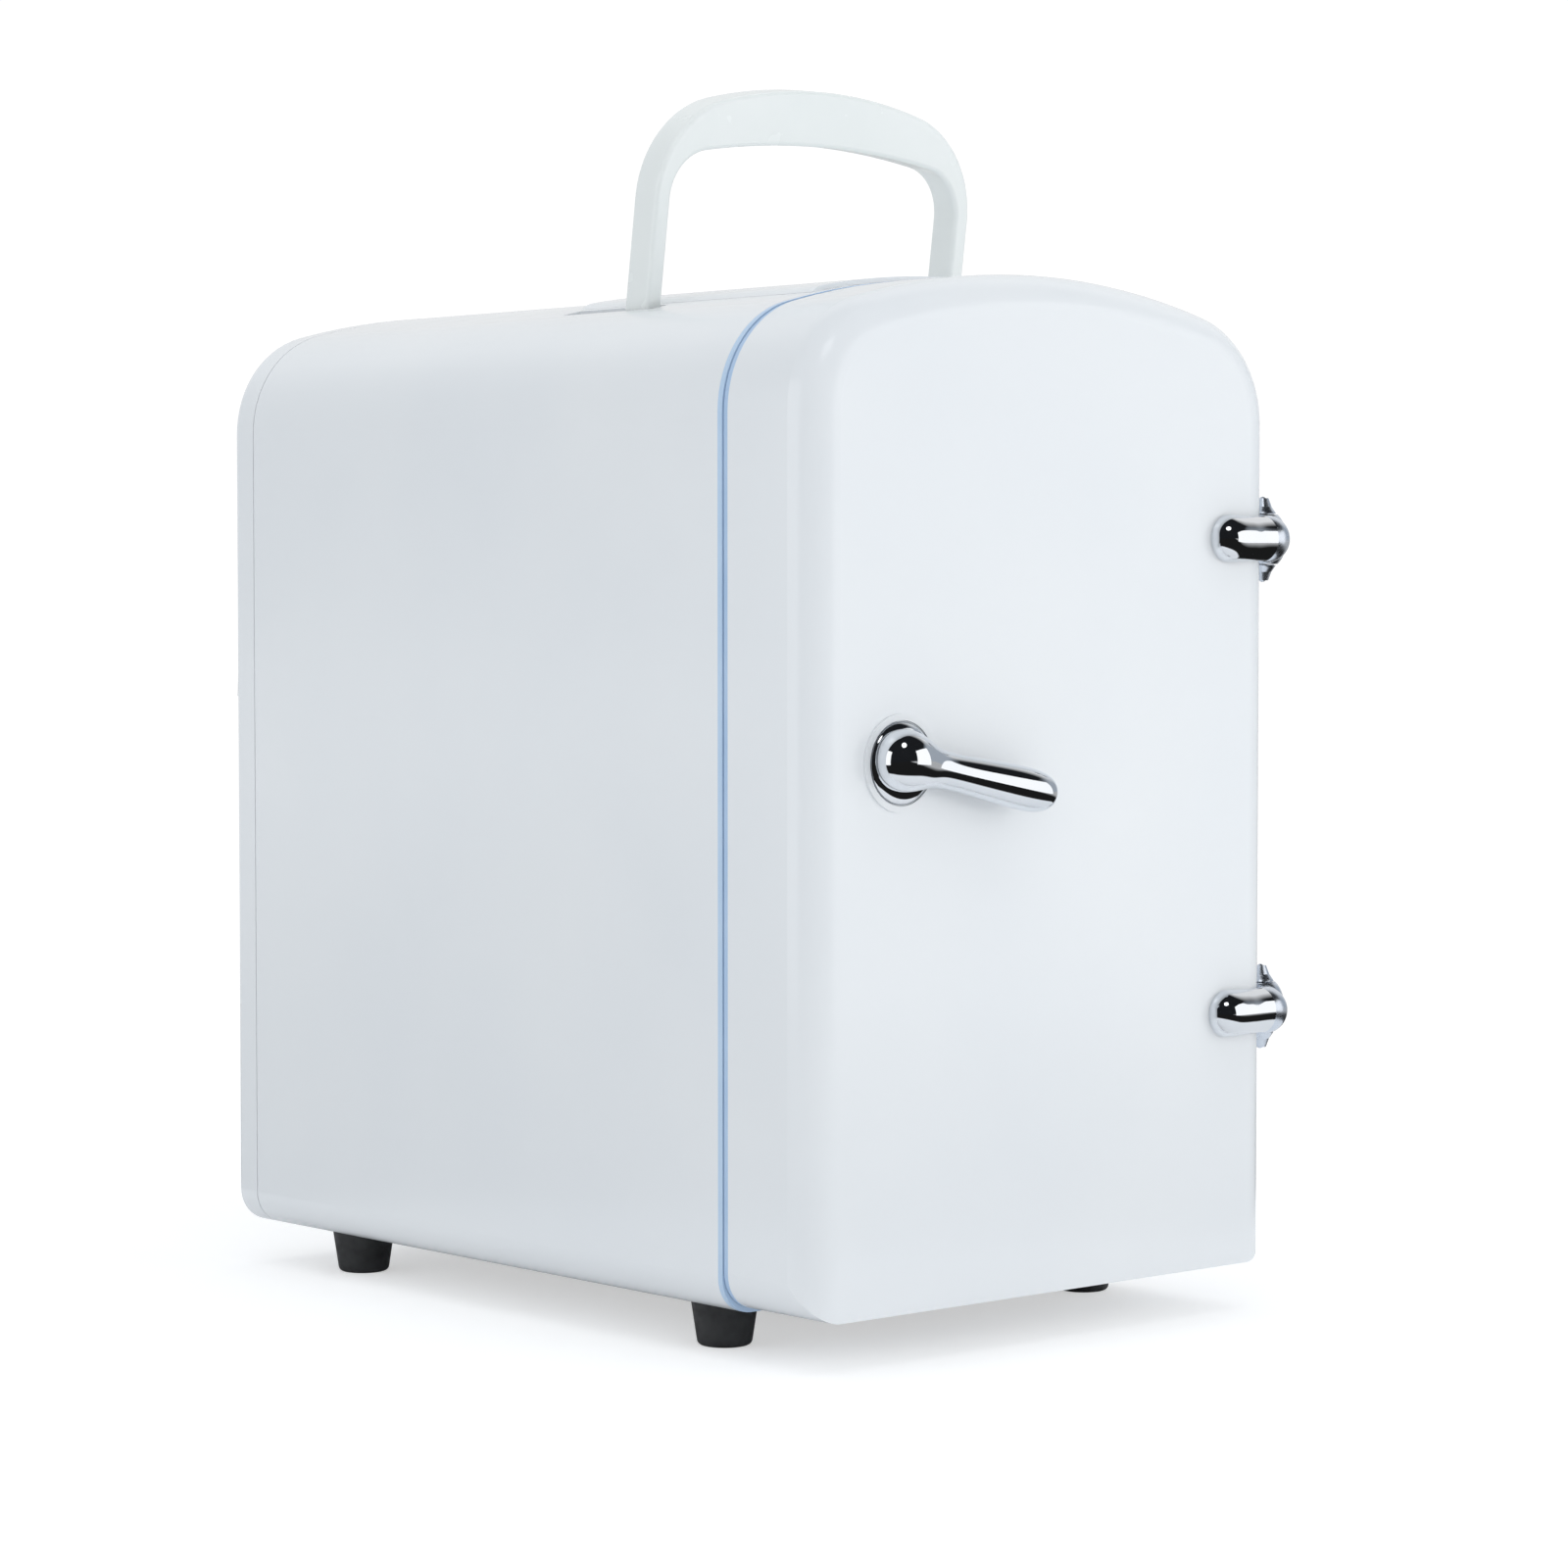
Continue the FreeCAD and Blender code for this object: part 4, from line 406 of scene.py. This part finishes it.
def hinge(label):
    """The door's bullet, the arm from it round the corner to the pin, and the case's two bells."""
    axis = Vector(joint("door_swing")["pos_m"])
    height = middle(f"hinge_arm_{label}").z
    pin = Vector((axis.x, axis.y, height))
    bend = Vector((door_high.x - HINGE_SET_IN, door_face - HINGE_PROUD, height))
    nose = Vector((bend.x - BULLET_LENGTH, bend.y, height))
    bullet = turned(f"hinge_bullet_{label}", BULLET, nose, across, "chrome")
    keep(bullet, "door", "chrome", f"hinge_arm_{label}")

    way = pin - bend
    reach = way.length / MM
    link = [(ARM_RADIUS, 0), (6.75, reach / 2), (6.6, reach)]
    arm = [
        turned("knee", both_ends(ROUND_END), bend, across, "chrome"),
        turned("link", link, bend, way.normalized(), "chrome"),
        turned("knuckle", both_ends(KNUCKLE_HALF), pin, up, "chrome"),
    ]
    keep(united(f"hinge_wrap_{label}", arm, "satin_chrome"), "door", "chrome")

    for side, way in (("up", up), ("down", -up)):
        bell = turned(f"hinge_bell_{label}_{side}", BELL, pin, way, "satin_chrome")
        keep(bell, "case", "chrome")


for hinge_label in ("lower", "upper"):
    hinge(hinge_label)


# ---------------------------------------------------------------- lever

ARM_SLOPE = math.radians(12.2)  # the arm points this far below level
ARM_LEAN = math.radians(8)  # and this far out from the door
HUB_ASIDE, HUB_OUT, HUB_UP = 2.0 * MM, 3.4 * MM, 0.9 * MM
HUB_CAGE_RADIUS = 10.27 * MM  # smoothing draws the ball in to a radius of about 8.5 mm
TUBE_CAGE = 1 / 0.9024  # an eight-sided cage is about this much wider than its smooth tube
ARM = [(10.2, 5.5), (16.0, 4.85), (24.0, 5.3), (34.0, 5.95), (43.0, 6.15), (48.4, 5.0), (50.5, 2.6)]
BASE = [(0.0, -2.7), (6.0, -2.65), (9.2, -2.1), (10.7, -1.2), (11.15, -0.3), (11.15, 0.0)]


def ring_order(loop, centre, along):
    """The loop's vertices in order about an axis, with the axes that their angles are taken in."""
    first = loop[0].co - centre
    start = (first - along * first.dot(along)).normalized()
    side = along.cross(start)

    def turn(v):
        way = v.co - centre
        return (math.atan2(way.dot(side), way.dot(start)) + 0.1) % (2 * math.pi)

    return sorted(loop, key=turn), start, side


def grow(bm, loop, centre, along, stations):
    """Grows a round branch of a cage from an open loop, through (reach, radius) stations in mm."""
    for reach, radius in stations:
        loop, start, side = ring_order(loop, centre, along)
        count = len(loop)
        ring = []
        for i in range(count):
            angle = 2 * math.pi * i / count
            way = start * math.cos(angle) + side * math.sin(angle)
            ring.append(bm.verts.new(centre + along * reach * MM + way * radius * MM * TUBE_CAGE))
        for i in range(count):
            j = (i + 1) % count
            bm.faces.new((loop[i], loop[j], ring[j], ring[i]))
        loop = ring
    bm.faces.new(loop)


def open_side(bm, centre, way):
    """Removes a ball cage's four faces on one side; returns the loop round the hole."""
    faces = sorted(bm.faces, key=lambda f: -(f.calc_center_median() - centre).dot(way))[:4]
    bmesh.ops.delete(bm, geom=faces, context="FACES")
    for v in [v for v in bm.verts if not v.link_faces]:
        bm.verts.remove(v)
    return [v for v in bm.verts if v.is_boundary]


def lever():
    """A ball hub with a club shaped arm, in one smooth casting, on a round base."""
    hub = Vector((lever_axis.x - HUB_ASIDE, door_face - HUB_OUT, lever_axis.z + HUB_UP))
    level = math.cos(ARM_LEAN)
    arm_way = Vector((
        math.cos(ARM_SLOPE) * level, -math.sin(ARM_LEAN), -math.sin(ARM_SLOPE) * level,
    ))
    bm = bmesh.new()
    bmesh.ops.create_cube(bm, size=2)
    bmesh.ops.subdivide_edges(bm, edges=bm.edges[:], cuts=1, use_grid_fill=True)
    turn = Matrix.Rotation(ARM_SLOPE, 3, "Y") @ Matrix.Rotation(-ARM_LEAN * 0.5, 3, "Z")
    for v in bm.verts:
        v.co = hub + turn @ (v.co.normalized() * HUB_CAGE_RADIUS)
    grow(bm, open_side(bm, hub, turn @ across), hub, arm_way, ARM)
    casting = finish_mesh("lever_casting", bm, "chrome")
    subdivide(casting, 4)
    keep(casting, "lever", "chrome", "latch_lever")

    foot = Vector((lever_axis.x, door_face, lever_axis.z))
    base = turned("lever_base", BASE, foot, Vector((0, 1, 0)), "chrome")
    keep(base, "lever", "chrome", "lever_rosette")


lever()


# ---------------------------------------------------------------- studio

AZIMUTH = math.radians(41.25)
PITCH = math.radians(-2.65)
LENS = 98.1
CAMERA_AT = Vector((-0.8358, -0.9649, 0.2091))
AIM = Vector((0, 0, 0.17))
to_right = Vector((math.cos(AZIMUTH), -math.sin(AZIMUTH), 0))
to_scene = Vector((math.sin(AZIMUTH), math.cos(AZIMUTH), 0))
to_side = to_right * 0.9 + to_scene * 0.44

WHITE = 1.05  # what the camera sees round the object
FILL = 0.63  # soft light from all round
FLOOR_FILL = 0.95  # share of light the table returns to the object
TABLE_SEEN = 1.32  # the table is lit past white for the camera
TABLE_FADES = (0.30, 0.9)  # radii between which it turns plain white
TABLE_MIRRORED = 0.93
TABLE_ENDS = (0.28, 0.30)  # radii between which it stops, for mirrors
BACKDROP = 0.80  # what mirrors see behind the object
SIDE_WALL = 0.45  # what they see to its right
DARK_FLOOR = 0.012
DARK_ROOM = 0.014

PANEL_SIZE = 0.60
PANEL_SHADE = 1.15
WASH_OUT = 1.15  # the side washes stand this much further out than the panels


def aimed(at):
    """The placing of something at a point that faces the object."""
    return Matrix.Translation(at) @ (AIM - at).to_track_quat("-Z", "Y").to_matrix().to_4x4()


def wash(name, at, size, power):
    """A soft light that mirrors do not show."""
    light = bpy.data.lights.new(name, "AREA")
    light.energy = power
    light.size = size
    obj = bpy.data.objects.new(name, light)
    bpy.context.scene.collection.objects.link(obj)
    obj.matrix_world = aimed(at)
    obj.visible_glossy = False
    obj.visible_camera = False


def bare_material(name):
    """A node material without its shader, and its tree."""
    material = bpy.data.materials.new(name)
    material.use_nodes = True
    tree = material.node_tree
    tree.nodes.remove(tree.nodes["Principled BSDF"])
    return material, tree


def panel(name, at, size, shade, corners=4):
    """A glowing panel that only mirrors show."""
    turn = math.pi / corners
    angles = [turn + 2 * turn * i for i in range(corners)]
    bm = bmesh.new()
    bm.faces.new([bm.verts.new((math.cos(a) * size, math.sin(a) * size, 0)) for a in angles])
    obj = mesh_object(name, bm)
    obj.matrix_world = aimed(at)
    material, tree = bare_material(name)
    glow = tree.nodes.new("ShaderNodeEmission")
    glow.inputs["Strength"].default_value = shade
    tree.links.new(glow.outputs[0], tree.nodes["Material Output"].inputs["Surface"])
    obj.data.materials.append(material)
    obj.visible_camera = False
    obj.visible_diffuse = False
    obj.visible_shadow = False
    obj.visible_transmission = False


def mix(tree, share, first, second):
    """A share of the second shader and the rest of the first; the share is a number or a socket."""
    node = tree.nodes.new("ShaderNodeMixShader")
    if isinstance(share, float):
        node.inputs["Fac"].default_value = share
    else:
        tree.links.new(share, node.inputs["Fac"])
    tree.links.new(first, node.inputs[1])
    tree.links.new(second, node.inputs[2])
    return node.outputs[0]


def share_between(tree, value, start, end):
    """0 up to the start, 1 from the end on."""
    node = tree.nodes.new("ShaderNodeMapRange")
    node.inputs["From Min"].default_value = start
    node.inputs["From Max"].default_value = end
    tree.links.new(value, node.inputs["Value"])
    return node.outputs["Result"]


def share_towards(tree, vector, way, start, end):
    """0 where a vector leans little towards a way, 1 where it leans far."""
    dot = tree.nodes.new("ShaderNodeVectorMath")
    dot.operation = "DOT_PRODUCT"
    dot.inputs[1].default_value = way
    tree.links.new(vector, dot.inputs[0])
    return share_between(tree, dot.outputs["Value"], start, end)


def floor():
    """A pale table top that fades to plain white with distance."""
    bm = bmesh.new()
    bmesh.ops.create_grid(bm, x_segments=1, y_segments=1, size=12)
    obj = mesh_object("floor", bm)
    material, tree = bare_material("floor")

    def matte(shade):
        node = tree.nodes.new("ShaderNodeBsdfDiffuse")
        node.inputs["Color"].default_value = (shade, shade, shade * 1.004, 1)
        return node.outputs[0]

    def glow(shade):
        node = tree.nodes.new("ShaderNodeEmission")
        node.inputs["Color"].default_value = (shade, shade, shade, 1)
        return node.outputs[0]

    place = tree.nodes.new("ShaderNodeTexCoord").outputs["Object"]
    length = tree.nodes.new("ShaderNodeVectorMath")
    length.operation = "LENGTH"
    tree.links.new(place, length.inputs[0])
    distance = length.outputs["Value"]
    path = tree.nodes.new("ShaderNodeLightPath").outputs

    behind = share_towards(tree, place, to_scene, 0.3, 0.8)
    beside = share_towards(tree, place, to_side, 0.50, 0.80)
    far = mix(tree, behind, glow(DARK_FLOOR), glow(BACKDROP))
    far = mix(tree, beside, far, glow(SIDE_WALL))
    mirrored = mix(tree, share_between(tree, distance, *TABLE_ENDS), matte(TABLE_MIRRORED), far)
    half_lit = mix(tree, 0.5, matte(TABLE_SEEN), glow(1.0))
    seen = mix(tree, share_between(tree, distance, *TABLE_FADES), half_lit, glow(WHITE))
    unseen = mix(tree, path["Is Glossy Ray"], matte(FLOOR_FILL), mirrored)
    surface = mix(tree, path["Is Camera Ray"], unseen, seen)
    tree.links.new(surface, tree.nodes["Material Output"].inputs["Surface"])
    obj.data.materials.append(material)


def room():
    """White to the camera, soft fill to matte things; mirrors see white behind, dark in front."""
    world = bpy.data.worlds.new("room")
    bpy.context.scene.world = world
    world.use_nodes = True
    tree = world.node_tree

    def background(colour, strength):
        node = tree.nodes.new("ShaderNodeBackground")
        node.inputs["Color"].default_value = (*colour, 1)
        node.inputs["Strength"].default_value = strength
        return node.outputs["Background"]

    way = tree.nodes.new("ShaderNodeTexCoord").outputs["Generated"]
    path = tree.nodes.new("ShaderNodeLightPath").outputs
    dark = background((0.8, 0.87, 1.0), DARK_ROOM)
    backdrop = background((1, 1, 1), BACKDROP)
    side_wall = background((0.82, 0.90, 1.0), SIDE_WALL)
    mirrored = mix(tree, share_towards(tree, way, to_scene, 0.25, 0.55), dark, backdrop)
    mirrored = mix(tree, share_towards(tree, way, to_side, 0.80, 0.92), mirrored, side_wall)
    fill = background((0.905, 0.955, 1.0), FILL)
    unseen = mix(tree, path["Is Glossy Ray"], fill, mirrored)
    surface = mix(tree, path["Is Camera Ray"], unseen, background((1, 1, 1), WHITE))
    tree.links.new(surface, tree.nodes["World Output"].inputs["Surface"])


def camera():
    """In front and to the left, about two thirds of the way up the case, looking a little down."""
    data = bpy.data.cameras.new("camera")
    data.sensor_width = 36
    data.lens = LENS
    data.clip_start = 0.05
    data.clip_end = 60
    obj = bpy.data.objects.new("camera", data)
    bpy.context.scene.collection.objects.link(obj)
    forward = to_scene * math.cos(PITCH) + up * math.sin(PITCH)
    turn = forward.to_track_quat("-Z", "Y").to_matrix().to_4x4()
    obj.matrix_world = Matrix.Translation(CAMERA_AT) @ turn
    bpy.context.scene.camera = obj


def lights():
    left = AIM - to_right * 0.95 - to_scene * 0.40 + up * 0.10
    right = AIM + to_right * 0.95 - to_scene * 0.30 + up * 0.06
    wash("left_wash", left * WASH_OUT, 0.85, 0.9)
    wash("right_wash", right * WASH_OUT, 0.85, 2.8)
    wash("front_wash", AIM - to_scene * 1.6 + up * 0.5, 1.2, 2.6)
    wash("overhead", AIM + up * 1.6, 2.2, 10.0)
    panel("left_panel", left, PANEL_SIZE, PANEL_SHADE)
    panel("right_panel", right, PANEL_SIZE, PANEL_SHADE)
    panel("front_lamp", AIM - to_scene * 1.15 + up * 1.30 + to_right * 0.12, 0.28, 2.2, 32)


floor()
room()
camera()
lights()
bpy.context.scene.view_settings.view_transform = "Standard"
